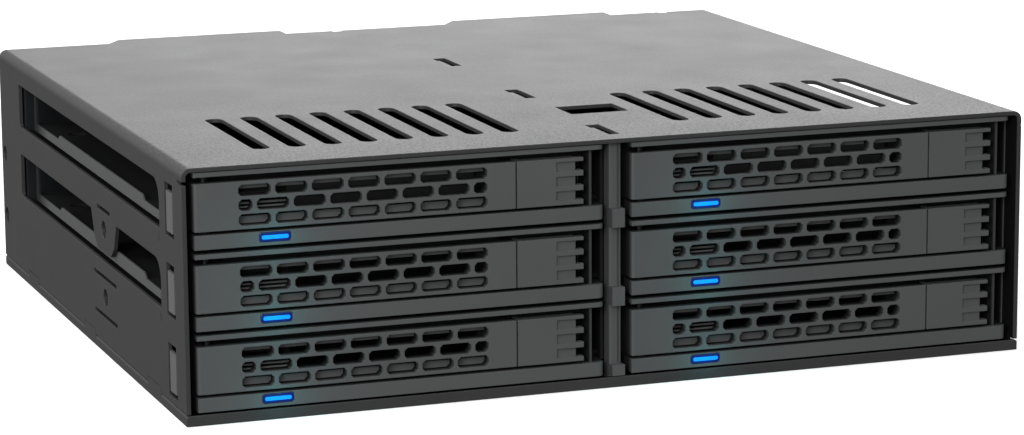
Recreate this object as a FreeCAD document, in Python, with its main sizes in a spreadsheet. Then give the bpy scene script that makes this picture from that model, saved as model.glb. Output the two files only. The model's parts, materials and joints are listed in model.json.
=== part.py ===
import FreeCAD, Part
import math
import os
import Sketcher

# A six-bay hot swap cage for 2.5 inch drives that fills one half-height 5.25 inch bay.
# Every length is in millimetres. +Z is up, the front faces -Y and X runs across the front.
# The pieces are drawn in a working frame whose y = 0 is the front plane of the cage, and the
# placement of each piece then moves it back so that the origin lies under the middle.

doc = FreeCAD.newDocument("drive_cage")
sheet = doc.addObject("Spreadsheet::Sheet", "Sizes")
sheet_rows = 0
pieces = []
cuts = []


class Size:
    """A length that keeps its number and the spreadsheet expression behind it together."""

    def __init__(self, value, text):
        self.value = value
        self.text = text

    def join(self, other, sign, value):
        return Size(value, "(%s %s %s)" % (self.text, sign, other.text))

    def __add__(self, other):
        other = as_size(other)
        return self.join(other, "+", self.value + other.value)

    def __sub__(self, other):
        other = as_size(other)
        return self.join(other, "-", self.value - other.value)

    def __mul__(self, other):
        other = as_size(other)
        return self.join(other, "*", self.value * other.value)

    def __truediv__(self, other):
        other = as_size(other)
        return self.join(other, "/", self.value / other.value)

    def __neg__(self):
        return as_size(0) - self


def as_size(number):
    if isinstance(number, Size):
        return number
    return Size(float(number), repr(float(number)))


def size(alias, value):
    """Write one driving dimension into the sheet and hand it back as a Size."""
    global sheet_rows
    sheet_rows += 1
    sheet.set("A%d" % sheet_rows, alias)
    sheet.set("B%d" % sheet_rows, str(value))
    sheet.setAlias("B%d" % sheet_rows, alias)
    return Size(value, "Sizes." + alias)


NONE = as_size(0)

# The sheet metal cage
width = size("width", 146.0)
height = size("height", 41.3)
depth = size("depth", 135.0)
sheet_gauge = size("sheet_gauge", 0.7)
bend_radius = size("bend_radius", 1.5)
wall_foot = size("wall_foot", 1.9)
pan_gauge = size("pan_gauge", 0.8)
lip_height = size("lip_height", 1.7)
lip_corner = size("lip_corner", 0.45)
seam_tab_front = size("seam_tab_front", 16.3)
seam_tab_length = size("seam_tab_length", 8.2)
seam_tab_pitch = size("seam_tab_pitch", 44.9)
seam_tab_rise = size("seam_tab_rise", 2.65)
seam_gap = size("seam_gap", 0.15)
relief_rise = size("relief_rise", 38.6)
relief_height = size("relief_height", 0.6)
relief_depth = size("relief_depth", 2.6)

# Openings in the side walls
window_front = size("window_front", 14.4)
window_back = size("window_back", 118.3)
window_drop = size("window_drop", 1.1)
window_height = size("window_height", 7.9)
window_round = size("window_round", 3.6)
window_corner = size("window_corner", 0.6)
tongue_half = size("tongue_half", 9.0)
tongue_waist = size("tongue_waist", 7.0)
tongue_tip = size("tongue_tip", 4.6)
tongue_reach = size("tongue_reach", 3.9)
catch_window_front = size("catch_window_front", 5.4)
catch_window_length = size("catch_window_length", 5.3)
catch_window_drop = size("catch_window_drop", 0.9)
catch_window_height = size("catch_window_height", 8.6)
slit_width = size("slit_width", 0.7)
upper_slit_length = size("upper_slit_length", 9.2)
lower_slit_length = size("lower_slit_length", 16.0)
slit_offset = size("slit_offset", 3.4)
tick_width = size("tick_width", 0.35)
tick_height = size("tick_height", 1.4)
tick_back = size("tick_back", 14.8)
tick_drop = size("tick_drop", 0.85)

# The bay standard's screw holes
bay_hole_radius = size("bay_hole_radius", 1.5)
bay_hole_front = size("bay_hole_front", 53.0)
bay_hole_pitch = size("bay_hole_pitch", 79.25)
bay_hole_low = size("bay_hole_low", 10.0)
bay_hole_rise = size("bay_hole_rise", 11.84)
bay_floor_spacing = size("bay_floor_spacing", 139.7)
collar_radius = size("collar_radius", 2.6)

# Openings in the top
vent_length = size("vent_length", 31.0)
vent_width = size("vent_width", 3.0)
vent_pitch = size("vent_pitch", 6.06)
vent_front = size("vent_front", 12.5)
vent_start = size("vent_start", 56.2)
vent_group_pitch = size("vent_group_pitch", 72.7)
VENTS_PER_GROUP = 8
hatch_left = size("hatch_left", 1.4)
hatch_width = size("hatch_width", 10.4)
hatch_front = size("hatch_front", 25.2)
hatch_length = size("hatch_length", 8.0)
divider_slot_front = size("divider_slot_front", 4.4)
divider_slot_length = size("divider_slot_length", 9.7)
divider_slot_pitch = size("divider_slot_pitch", 39.4)
divider_slot_width = size("divider_slot_width", 2.4)
divider_tab_length = size("divider_tab_length", 7.6)
fan_tab_width = size("fan_tab_width", 35.3)
fan_tab_slant = size("fan_tab_slant", 3.0)
fan_tab_length = size("fan_tab_length", 4.4)
lug_width = size("lug_width", 1.8)
lug_depth = size("lug_depth", 0.8)
lug_left = size("lug_left", -6.0)
lug_right = size("lug_right", 62.8)

# Divider, post and guide ledges
divider_gauge = size("divider_gauge", 0.8)
divider_front = size("divider_front", 4.0)
post_half = size("post_half", 1.1)
post_set_back = size("post_set_back", 1.6)
groove_width = size("groove_width", 0.3)
groove_offset = size("groove_offset", 0.35)
block_height = size("block_height", 3.1)
ledge_front = size("ledge_front", 12.0)
ledge_back = size("ledge_back", 114.0)
ledge_gauge = size("ledge_gauge", 0.6)
ledge_top = size("ledge_top", 1.0)
ledge_reach = size("ledge_reach", 2.1)

# The grid of trays
first_row = size("first_row", 2.05)
row_pitch = size("row_pitch", 13.05)
running_gap = size("running_gap", 0.1)

# The tray
bezel_inset = size("bezel_inset", 1.15)
bezel_height = size("bezel_height", 12.3)
face_set_back = size("face_set_back", 0.2)
strip_height = size("strip_height", 0.75)
bar_height = size("bar_height", 2.3)
bezel_depth = size("bezel_depth", 5.4)
bezel_round = size("bezel_round", 1.2)
tray_length = size("tray_length", 109.0)
tray_wall = size("tray_wall", 0.5)
front_wall = size("front_wall", 1.4)
floor_gauge = size("floor_gauge", 0.8)
rail_lift = size("rail_lift", 1.85)
rail_height = size("rail_height", 1.4)
rail_raised = size("rail_raised", 2.25)
raised_front = size("raised_front", 29.0)
raised_back = size("raised_back", 88.5)
raised_slope = size("raised_slope", 1.4)
ear_length = size("ear_length", 1.8)
ear_height = size("ear_height", 10.15)
cheek_front = size("cheek_front", 4.0)
cheek_back = size("cheek_back", 8.9)
bump_front = size("bump_front", 10.4)
bump_back = size("bump_back", 13.9)
bump_height = size("bump_height", 5.9)
skirt_drop = size("skirt_drop", 1.2)
skirt_width = size("skirt_width", 0.9)
skirt_inset = size("skirt_inset", 1.0)
floor_vent_half = size("floor_vent_half", 22.0)
floor_vent_front = size("floor_vent_front", 22.0)
floor_vent_length = size("floor_vent_length", 3.0)
floor_vent_pitch = size("floor_vent_pitch", 12.5)
FLOOR_VENTS = 6
drive_front = size("drive_front", 8.6)
drive_length = size("drive_length", 100.2)
drive_hole_half = size("drive_hole_half", 30.86)
drive_hole_back = size("drive_hole_back", 14.0)
drive_hole_pitch = size("drive_hole_pitch", 76.6)
drive_hole_radius = size("drive_hole_radius", 1.6)
mouth_low = size("mouth_low", 4.3)
mouth_height = size("mouth_height", 4.2)
fin_slit = size("fin_slit", 0.55)
fin_pitch = size("fin_pitch", 1.1)

# The handle and its hinge
handle_drop = size("handle_drop", 0.55)
handle_height = size("handle_height", 7.65)
handle_gauge = size("handle_gauge", 2.2)
handle_right = size("handle_right", 19.0)
handle_round = size("handle_round", 0.5)
pin_radius = size("pin_radius", 0.75)
pin_clearance = size("pin_clearance", 0.05)
pin_head_radius = size("pin_head_radius", 1.15)
pin_head_height = size("pin_head_height", 0.5)
slot_length = size("slot_length", 5.3)
slot_height = size("slot_height", 1.85)
slot_pitch = size("slot_pitch", 6.0)
slot_row_pitch = size("slot_row_pitch", 2.35)
slot_corner = size("slot_corner", 0.5)
slot_left = size("slot_left", -27.1)
short_slot = size("short_slot", 2.3)
SLOTS_PER_ROW = 7
finger_left = size("finger_left", 17.2)
finger_gauge = size("finger_gauge", 1.2)
finger_depth = size("finger_depth", 1.9)
finger_lip = size("finger_lip", 0.8)

# The latch
latch_gap = size("latch_gap", 0.25)
latch_plate_right = size("latch_plate_right", 29.4)
latch_right = size("latch_right", 30.65)
latch_travel = size("latch_travel", 1.2)
grip_left = size("grip_left", 26.0)
grip_first = size("grip_first", 0.75)
grip_height = size("grip_height", 1.5)
grip_pitch = size("grip_pitch", 2.4)
grip_depth = size("grip_depth", 0.4)
ridge_gauge = size("ridge_gauge", 1.4)
keeper_width = size("keeper_width", 0.9)
keeper_depth = size("keeper_depth", 0.9)
stem_left = size("stem_left", 22.0)
stem_width = size("stem_width", 3.0)
stem_height = size("stem_height", 1.8)
foot_overhang = size("foot_overhang", 1.0)
foot_gauge = size("foot_gauge", 0.7)
pocket_wall_gauge = size("pocket_wall_gauge", 0.4)
pocket_wall_front = size("pocket_wall_front", 1.0)

# Flat springs
spring_gauge = size("spring_gauge", 0.25)
spring_height = size("spring_height", 3.0)

# Light pipes, lamps and the board
lens_left = size("lens_left", -23.85)
lens_width = size("lens_width", 5.15)
lens_height = size("lens_height", 1.55)
lens_lift = size("lens_lift", 0.55)
lens_depth = size("lens_depth", 1.4)
lens_round = size("lens_round", 0.5)
lens_fit = size("lens_fit", 0.05)
rod_width = size("rod_width", 2.4)
rod_height = size("rod_height", 1.0)
lamp_depth = size("lamp_depth", 0.8)
board_front = size("board_front", 116.9)
board_gauge = size("board_gauge", 1.6)
board_edge_gap = size("board_edge_gap", 0.2)
board_vent_width = size("board_vent_width", 14.0)
board_vent_height = size("board_vent_height", 6.0)
board_vent_left = size("board_vent_left", 18.0)
socket_offset = size("socket_offset", -8.5)
socket_width = size("socket_width", 42.5)
socket_height = size("socket_height", 5.2)
socket_depth = size("socket_depth", 7.2)
socket_lift = size("socket_lift", 3.5)
blade_height = size("blade_height", 1.9)
blade_depth = size("blade_depth", 5.0)
signal_width = size("signal_width", 10.4)
supply_width = size("supply_width", 20.6)
blade_gap = size("blade_gap", 2.4)

# The rear: ports, panel and fans
port_width = size("port_width", 6.4)
port_height = size("port_height", 14.6)
port_depth = size("port_depth", 8.6)
port_wall = size("port_wall", 0.8)
port_tongue = size("port_tongue", 1.2)
port_pitch = size("port_pitch", 8.4)
port_level_pitch = size("port_level_pitch", 18.8)
supply_port_height = size("supply_port_height", 24.0)
supply_port_offset = size("supply_port_offset", 62.0)
panel_gauge = size("panel_gauge", 0.8)
panel_edge_gap = size("panel_edge_gap", 0.1)
port_well_half = size("port_well_half", 13.3)
port_well_height = size("port_well_height", 36.0)
supply_well_width = size("supply_well_width", 12.0)
supply_well_height = size("supply_well_height", 28.0)
fan_side = size("fan_side", 35.0)
fan_depth = size("fan_depth", 10.0)
fan_offset = size("fan_offset", 34.0)
fan_centre = size("fan_centre", 20.4)
fan_corner = size("fan_corner", 2.6)
fan_bore = size("fan_bore", 16.4)
fan_hole_half = size("fan_hole_half", 14.5)
fan_hole_radius = size("fan_hole_radius", 1.6)
tapped_radius = size("tapped_radius", 1.5)
motor_radius = size("motor_radius", 7.8)
motor_gauge = size("motor_gauge", 1.2)
strut_width = size("strut_width", 2.0)
bush_radius = size("bush_radius", 2.2)
bush_length = size("bush_length", 2.6)
rotor_radius = size("rotor_radius", 15.8)
rotor_hub_radius = size("rotor_hub_radius", 7.4)
rotor_front = size("rotor_front", 1.0)
rotor_length = size("rotor_length", 4.8)
shaft_radius = size("shaft_radius", 0.75)
blade_gauge = size("blade_gauge", 0.9)
BLADES = 7
screw_radius = size("screw_radius", 1.4)
screw_head_radius = size("screw_head_radius", 2.5)
screw_head_height = size("screw_head_height", 1.4)
standoff_radius = size("standoff_radius", 2.0)
standoff_offset = size("standoff_offset", 66.0)
standoff_low = size("standoff_low", 3.6)
standoff_high = size("standoff_high", 37.6)

# Values that follow from the driving ones
half_width = width / 2
inner_wall = half_width - sheet_gauge
ceiling = height - sheet_gauge
front_plane = -(depth + fan_depth + screw_head_height) / 2
column_x = (inner_wall + post_half) / 2
tray_half = (inner_wall - post_half) / 2 - running_gap
tray_inner = tray_half - tray_wall
bezel_half = tray_half - bezel_inset
bezel_back = face_set_back + bezel_depth
wall_back = bezel_back + front_wall
strip_low = bezel_height - strip_height
handle_low = bar_height + handle_drop
handle_high = handle_low + handle_height
plate_back = face_set_back + handle_gauge
hinge_x = handle_gauge - bezel_half
hinge_y = plate_back
drive_floor = bar_height + floor_gauge
drive_back = drive_front + drive_length
latch_left = handle_right + latch_gap
stem_low = handle_low + (handle_height - stem_height) / 2
pocket_wall_left = latch_right + latch_travel + running_gap
rod_left = lens_left + (lens_width - rod_width) / 2
rod_low = lens_lift + (lens_height - rod_height) / 2
board_back = board_front + board_gauge
panel_front = depth - panel_gauge
bay_hole_high = bay_hole_low + bay_hole_rise
level_middle = height / 2


def drive(item, name, value):
    """Bind a property of an object to a Size."""
    item.setExpression(name, as_size(value).text)


def place(item, x, y, z):
    drive(item, "Placement.Base.x", x)
    drive(item, "Placement.Base.y", y)
    drive(item, "Placement.Base.z", z)


def keep(item, label, x=NONE, y=front_plane, z=NONE):
    """Name a finished sub-part, set it down in the cage and list it for export."""
    item.Label = label
    place(item, x, y, z)
    pieces.append(item)
    return item


def new_body(name):
    return doc.addObject("PartDesign::Body", name + "_body")


def origin_item(body, role):
    for item in body.Origin.OriginFeatures:
        if item.Role == role:
            return item
    raise ValueError("no origin feature " + role)


# Plane name: the role of its origin plane, and the sign of its sketch normal on the world axis
PLANES = {"plan": ("XY_Plane", 1), "front": ("XZ_Plane", -1), "side": ("YZ_Plane", 1)}


def sketch_on(body, plane, level):
    """Start a sketch on a plane of the body, at a level measured along the world axis."""
    role, sign = PLANES[plane]
    sketch = body.newObject("Sketcher::SketchObject", body.Name + "_sketch")
    sketch.AttachmentSupport = [(origin_item(body, role), "")]
    sketch.MapMode = "FlatFace"
    drive(sketch, "AttachmentOffset.Base.z", as_size(level) * sign)
    return sketch


def tie(sketch, kind, item, spot, value):
    """Dimension one coordinate of a point from the sketch's origin."""
    number = sketch.addConstraint(Sketcher.Constraint(kind, -1, 1, item, spot, value.value))
    sketch.setExpression("Constraints[%d]" % number, value.text)


def pin_down(sketch, item, spot, point):
    tie(sketch, "DistanceX", item, spot, point[0])
    tie(sketch, "DistanceY", item, spot, point[1])


def vector(point):
    return FreeCAD.Vector(point[0].value, point[1].value, 0)


def heading(start, finish):
    """Return the step, -1, 0 or 1 each way, of an outline's edge that runs along an axis."""
    step_x = finish[0].value - start[0].value
    step_y = finish[1].value - start[1].value
    if abs(step_x) > abs(step_y):
        return math.copysign(1, step_x), 0.0
    return 0.0, math.copysign(1, step_y)


def add_arc(sketch, start, finish, centre, left_turn):
    """Add an arc and return its number and its end spots in the order of the path."""
    hub = vector(centre)
    first, last = (start, finish) if left_turn else (finish, start)
    from_hub = vector(first) - hub
    to_hub = vector(last) - hub
    start_angle = math.atan2(from_hub.y, from_hub.x)
    end_angle = math.atan2(to_hub.y, to_hub.x)
    circle = Part.Circle(hub, FreeCAD.Vector(0, 0, 1), from_hub.Length)
    number = sketch.addGeometry(Part.ArcOfCircle(circle, start_angle, end_angle), False)
    return (number, 1, 2) if left_turn else (number, 2, 1)


def outline(sketch, corners):
    """Close an outline through (x, y) corners; (x, y, radius) rounds a square corner."""
    corners = [tuple(as_size(number) for number in corner) for corner in corners]
    joints = []
    for index, corner in enumerate(corners):
        spot = corner[:2]
        if len(corner) == 2:
            joints.append((spot, spot, None, True))
            continue
        in_x, in_y = heading(corners[index - 1], corner)
        out_x, out_y = heading(corner, corners[(index + 1) % len(corners)])
        radius = corner[2]
        start = (spot[0] - radius * in_x, spot[1] - radius * in_y)
        finish = (spot[0] + radius * out_x, spot[1] + radius * out_y)
        centre = (start[0] + radius * out_x, start[1] + radius * out_y)
        joints.append((start, finish, centre, in_x * out_y - in_y * out_x > 0))
    lines = []
    for index, joint in enumerate(joints):
        after = joints[(index + 1) % len(joints)]
        segment = Part.LineSegment(vector(joint[1]), vector(after[0]))
        lines.append(sketch.addGeometry(segment, False))
    for index, (start, finish, centre, left_turn) in enumerate(joints):
        pin_down(sketch, lines[index], 1, finish)
        if centre is None:
            sketch.addConstraint(Sketcher.Constraint("Coincident", lines[index - 1], 2, lines[index], 1))
            continue
        pin_down(sketch, lines[index - 1], 2, start)
        arc, head, tail = add_arc(sketch, start, finish, centre, left_turn)
        sketch.addConstraint(Sketcher.Constraint("Coincident", lines[index - 1], 2, arc, head))
        sketch.addConstraint(Sketcher.Constraint("Coincident", arc, tail, lines[index], 1))
        tie(sketch, "DistanceX", arc, 3, centre[0])


def rectangle(sketch, low, high, radius=None):
    """Draw a rectangle between two corners, with its own corners rounded if asked."""
    extra = () if radius is None else (radius,)
    spots = [(low[0], low[1]), (high[0], low[1]), (high[0], high[1]), (low[0], high[1])]
    outline(sketch, [spot + extra for spot in spots])


def clipped_rectangle(sketch, low, high, clip):
    """Draw a rectangle whose corners are cut off at 45 degrees."""
    left, bottom = as_size(low[0]), as_size(low[1])
    right, top = as_size(high[0]), as_size(high[1])
    spots = [(left + clip, bottom), (right - clip, bottom), (right, bottom + clip), (right, top - clip)]
    spots += [(right - clip, top), (left + clip, top), (left, top - clip), (left, bottom + clip)]
    outline(sketch, spots)


def obround(sketch, x, front, length, breadth):
    """Draw a slot along y with half-round ends."""
    radius = breadth / 2
    left, right = x - radius, x + radius
    near, far = front + radius, front + length - radius
    runs = [((right, near), (right, far)), ((left, far), (left, near))]
    lines = []
    for start, finish in runs:
        lines.append(sketch.addGeometry(Part.LineSegment(vector(start), vector(finish)), False))
        pin_down(sketch, lines[-1], 1, start)
        pin_down(sketch, lines[-1], 2, finish)
    for index, level in enumerate((far, near)):
        start, finish = runs[index][1], runs[1 - index][0]
        arc, head, tail = add_arc(sketch, start, finish, (x, level), True)
        sketch.addConstraint(Sketcher.Constraint("Coincident", lines[index], 2, arc, head))
        sketch.addConstraint(Sketcher.Constraint("Coincident", arc, tail, lines[1 - index], 1))
        tie(sketch, "DistanceY", arc, 3, level)


def ring(sketch, x, y, radius):
    """Draw a circle."""
    x, y, radius = as_size(x), as_size(y), as_size(radius)
    circle = Part.Circle(vector((x, y)), FreeCAD.Vector(0, 0, 1), radius.value)
    number = sketch.addGeometry(circle, False)
    pin_down(sketch, number, 3, (x, y))
    constraint = sketch.addConstraint(Sketcher.Constraint("Radius", number, radius.value))
    sketch.setExpression("Constraints[%d]" % constraint, radius.text)


def normal_sign(sketch):
    """Return the sign of the sketch's normal on the world axis that it stands on."""
    role = sketch.AttachmentSupport[0][0].Role
    return [sign for name, sign in PLANES.values() if name == role][0]


def pad(body, sketch, length):
    """Raise the sketch along its plane's positive world axis."""
    feature = body.newObject("PartDesign::Pad", body.Name + "_pad")
    feature.Profile = sketch
    feature.Reversed = normal_sign(sketch) < 0
    drive(feature, "Length", length)
    return feature


def pocket(body, sketch, length):
    """Cut the sketch along its plane's positive world axis; check_model looks that metal came off."""
    feature = body.newObject("PartDesign::Pocket", body.Name + "_pocket")
    feature.Profile = sketch
    feature.Reversed = normal_sign(sketch) > 0
    drive(feature, "Length", length)
    cuts.append(feature)
    return feature


def row_of(body, feature, role, span, count):
    """Repeat a feature along an axis of the body; span reaches from first to last."""
    pattern = body.newObject("PartDesign::LinearPattern", body.Name + "_row")
    pattern.Originals = [feature]
    pattern.Direction = (origin_item(body, role), [""])
    pattern.Occurrences = count
    drive(pattern, "Length", span)
    body.Tip = pattern
    return pattern


def circle_of(body, feature, count):
    """Repeat a feature round the body's Y axis."""
    pattern = body.newObject("PartDesign::PolarPattern", body.Name + "_circle")
    pattern.Originals = [feature]
    pattern.Axis = (origin_item(body, "Y_Axis"), [""])
    pattern.Angle = 360
    pattern.Occurrences = count
    body.Tip = pattern
    return pattern


def mirror(body, feature):
    """Repeat a feature on the other side of the body's YZ plane."""
    copy = body.newObject("PartDesign::Mirrored", body.Name + "_mirror")
    copy.Originals = [feature]
    copy.MirrorPlane = (origin_item(body, "YZ_Plane"), [""])
    body.Tip = copy
    return copy


def block(name, corner, extent):
    """Make a Part box from its low corner and its size."""
    item = doc.addObject("Part::Box", name)
    drive(item, "Length", extent[0])
    drive(item, "Width", extent[1])
    drive(item, "Height", extent[2])
    place(item, *corner)
    return item


def rod_along_y(name, x, y, z, radius, length, sides=None):
    """Make a cylinder, or a prism with the sides asked for, that runs along +Y."""
    item = doc.addObject("Part::Cylinder" if sides is None else "Part::Prism", name)
    if sides is None:
        drive(item, "Radius", radius)
    else:
        item.Polygon = sides
        drive(item, "Circumradius", radius)
    drive(item, "Height", length)
    item.Placement = FreeCAD.Placement(FreeCAD.Vector(), FreeCAD.Rotation(FreeCAD.Vector(1, 0, 0), -90))
    place(item, x, y, z)
    return item


def cut_from(name, base, tools):
    """Take several tools out of a base."""
    merged = tools[0]
    if len(tools) > 1:
        merged = doc.addObject("Part::MultiFuse", name + "_tools")
        merged.Shapes = tools
    item = doc.addObject("Part::Cut", name)
    item.Base = base
    item.Tool = merged
    return item


def group_of(name, members):
    """Hold identical loose solids as one sub-part."""
    item = doc.addObject("Part::Compound", name)
    item.Links = members
    return item


def row_level(row):
    return first_row + row_pitch * row


ROWS = {"low": 0, "middle": 1, "top": 2}
COLUMNS = {"left": -1, "right": 1}


def make_top_shell():
    """The folded cover: top and both side walls of one sheet, with its guide ledges."""
    body = new_body("top_shell")
    section = sketch_on(body, "front", NONE)
    inner_bend = bend_radius - sheet_gauge
    outline(section, [
        (-half_width, wall_foot), (-inner_wall, wall_foot), (-inner_wall, ceiling, inner_bend),
        (inner_wall, ceiling, inner_bend), (inner_wall, wall_foot), (half_width, wall_foot),
        (half_width, height, bend_radius), (-half_width, height, bend_radius)])
    pad(body, section, depth)
    for row in ROWS.values():
        ledge = sketch_on(body, "front", ledge_front)
        low = row_level(row) + ledge_top - ledge_gauge
        rectangle(ledge, (inner_wall - ledge_reach, low), (inner_wall + sheet_gauge / 2, low + ledge_gauge))
        mirror(body, pad(body, ledge, ledge_back - ledge_front))
    cut_side_openings(body)
    cut_top_openings(body)
    tabs = sketch_on(body, "plan", ceiling)
    for centre in (-fan_offset, fan_offset):
        left, right = centre - fan_tab_width / 2, centre + fan_tab_width / 2
        root = depth - sheet_gauge
        tip = depth + fan_tab_length
        outline(tabs, [(left, root), (right, root), (right, tip), (left + fan_tab_slant, tip), (left, depth)])
    pad(body, tabs, sheet_gauge)
    return keep(body, "top_shell")


def cut_side_openings(body):
    """Cut windows, screw holes, slits and seam notches through both side walls at once."""
    reach = width + 2
    start = -half_width - 1
    sketch = sketch_on(body, "side", start)
    low = row_level(2) + window_drop
    outline(sketch, [
        (window_front, low), (window_back, low, window_corner),
        (window_back, low + window_height, window_corner), (window_front, low + window_height, window_round)])
    draw_tongue_window(sketch)
    for level in (bay_hole_low, bay_hole_high):
        ring(sketch, bay_hole_front, level, bay_hole_radius)
        ring(sketch, bay_hole_front + bay_hole_pitch, level, bay_hole_radius)
    slits = [(bay_hole_high + slit_offset, upper_slit_length), (bay_hole_low + slit_offset, lower_slit_length),
             (bay_hole_low - slit_offset, lower_slit_length)]
    for level, length in slits:
        near = bay_hole_front - length / 2
        rectangle(sketch, (near, level - slit_width / 2), (near + length, level + slit_width / 2))
    rectangle(sketch, (as_size(-1), relief_rise), (relief_depth, relief_rise + relief_height))
    for row in (1, 2):
        high = row_level(row) + window_drop - tick_drop
        rectangle(sketch, (tick_back, high - tick_height), (tick_back + tick_width, high))
    pocket(body, sketch, reach)

    catch = sketch_on(body, "side", start)
    low = first_row + catch_window_drop
    rectangle(catch, (catch_window_front, low),
              (catch_window_front + catch_window_length, low + catch_window_height))
    row_of(body, pocket(body, catch, reach), "Z_Axis", row_pitch * 2, 3)

    seam = sketch_on(body, "side", start)
    rectangle(seam, (seam_tab_front - seam_gap, wall_foot - 1),
              (seam_tab_front + seam_tab_length + seam_gap, seam_tab_rise + seam_gap))
    row_of(body, pocket(body, seam, reach), "Y_Axis", seam_tab_pitch * 2, 3)


def draw_tongue_window(sketch):
    """Draw the middle window, whose upper edge drops as a tongue round the upper screw hole."""
    low = row_level(1) + window_drop
    high = low + window_height
    waist = bay_hole_high - slit_width * 3
    tip = bay_hole_high - tongue_reach
    outline(sketch, [
        (window_front, low), (window_back, low, window_corner), (window_back, high, window_corner),
        (bay_hole_front + tongue_half, high), (bay_hole_front + tongue_waist, waist),
        (bay_hole_front + tongue_tip, tip), (bay_hole_front - tongue_tip, tip),
        (bay_hole_front - tongue_waist, waist), (bay_hole_front - tongue_half, high),
        (window_front, high, window_round)])


def cut_top_openings(body):
    """Cut both groups of vents, the hatch, the divider's slots and the panel's lug notches."""
    through = sheet_gauge + 2
    below = ceiling - 1
    for first in (-vent_start, -vent_start + vent_group_pitch):
        vent = sketch_on(body, "plan", below)
        obround(vent, first, vent_front, vent_length, vent_width)
        row_of(body, pocket(body, vent, through), "X_Axis", vent_pitch * (VENTS_PER_GROUP - 1), VENTS_PER_GROUP)
    plain = sketch_on(body, "plan", below)
    rectangle(plain, (hatch_left, hatch_front), (hatch_left + hatch_width, hatch_front + hatch_length))
    for centre in (lug_left, lug_right):
        half = lug_width / 2 + seam_gap
        rectangle(plain, (centre - half, depth - lug_depth - seam_gap), (centre + half, depth + 1))
    pocket(body, plain, through)
    slot = sketch_on(body, "plan", below)
    left = -divider_gauge / 2 - seam_gap / 3
    rectangle(slot, (left, divider_slot_front), (left + divider_slot_width, divider_slot_front + divider_slot_length))
    row_of(body, pocket(body, slot, through), "Y_Axis", divider_slot_pitch * 2, 3)


def make_bottom_pan():
    """The shallow floor pan: a front lip and side lips, seam tabs and tapped screw collars."""
    body = new_body("bottom_pan")
    slab = sketch_on(body, "front", NONE)
    outline(slab, [(-half_width, NONE), (half_width, NONE), (half_width, lip_height, lip_corner),
                   (-half_width, lip_height, lip_corner)])
    pad(body, slab, depth)
    hollow = sketch_on(body, "plan", pan_gauge)
    rectangle(hollow, (pan_gauge - half_width, pan_gauge), (half_width - pan_gauge, depth + 1))
    pocket(body, hollow, lip_height)
    tab = sketch_on(body, "plan", NONE)
    inner = half_width - sheet_gauge
    rectangle(tab, (inner, seam_tab_front), (half_width, seam_tab_front + seam_tab_length))
    row_of(body, pad(body, tab, seam_tab_rise), "Y_Axis", seam_tab_pitch * 2, 3)
    other = sketch_on(body, "plan", NONE)
    rectangle(other, (-half_width, seam_tab_front), (-inner, seam_tab_front + seam_tab_length))
    row_of(body, pad(body, other, seam_tab_rise), "Y_Axis", seam_tab_pitch * 2, 3)
    collars = sketch_on(body, "plan", pan_gauge / 2)
    holes = sketch_on(body, "plan", as_size(-1))
    for side in COLUMNS.values():
        for back in (NONE, bay_hole_pitch):
            centre = (bay_floor_spacing / 2 * side, bay_hole_front + back)
            ring(collars, centre[0], centre[1], collar_radius)
            ring(holes, centre[0], centre[1], bay_hole_radius)
    pad(body, collars, lip_height - pan_gauge / 2)
    pocket(body, holes, lip_height + 2)
    slot = sketch_on(body, "plan", as_size(-1))
    left = -divider_gauge / 2 - seam_gap / 3
    rectangle(slot, (left, divider_slot_front), (-left, divider_slot_front + divider_slot_length))
    row_of(body, pocket(body, slot, pan_gauge + 2), "Y_Axis", divider_slot_pitch * 2, 3)
    return keep(body, "bottom_pan")


def make_centre_divider():
    """The upright sheet between the columns, tabbed into top and floor, with its ledges."""
    body = new_body("centre_divider")
    half = divider_gauge / 2
    back = board_front - running_gap * 2
    sheet_side = sketch_on(body, "side", -half)
    rectangle(sheet_side, (divider_front, pan_gauge), (back, ceiling))
    pad(body, sheet_side, divider_gauge)
    tabs = sketch_on(body, "side", -half)
    near = divider_slot_front + seam_gap * 2
    rectangle(tabs, (near, seam_gap), (near + divider_tab_length, height - seam_gap))
    row_of(body, pad(body, tabs, divider_gauge), "Y_Axis", divider_slot_pitch * 2, 3)
    for row in ROWS.values():
        ledge = sketch_on(body, "front", ledge_front)
        low = row_level(row) + ledge_top - ledge_gauge
        reach = post_half + running_gap + ledge_reach
        rectangle(ledge, (-reach, low), (reach, low + ledge_gauge))
        pad(body, ledge, ledge_back - ledge_front)
    return keep(body, "centre_divider")


def make_centre_post():
    """The grooved post that trims the divider's front edge, with a block at each row."""
    body = new_body("centre_post")
    plan = sketch_on(body, "plan", pan_gauge)
    side = post_half - running_gap / 2
    groove = groove_offset + groove_width
    floor = post_set_back + groove_width
    outline(plan, [
        (-side, post_set_back, groove_width), (groove_offset, post_set_back), (groove_offset, floor),
        (groove, floor), (groove, post_set_back), (side, post_set_back, groove_width),
        (side, divider_front), (-side, divider_front)])
    pad(body, plan, ceiling - pan_gauge)
    blocks = sketch_on(body, "plan", row_level(1) - block_height / 2)
    rectangle(blocks, (-post_half, NONE), (post_half, divider_front), None)
    row_of(body, pad(body, blocks, block_height), "Z_Axis", row_pitch, 2)
    lowest = sketch_on(body, "plan", lip_height + seam_gap)
    rectangle(lowest, (-post_half, NONE), (post_half, divider_front))
    pad(body, lowest, row_level(0) + block_height / 2 - lip_height - seam_gap)
    return keep(body, "centre_post")


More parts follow.
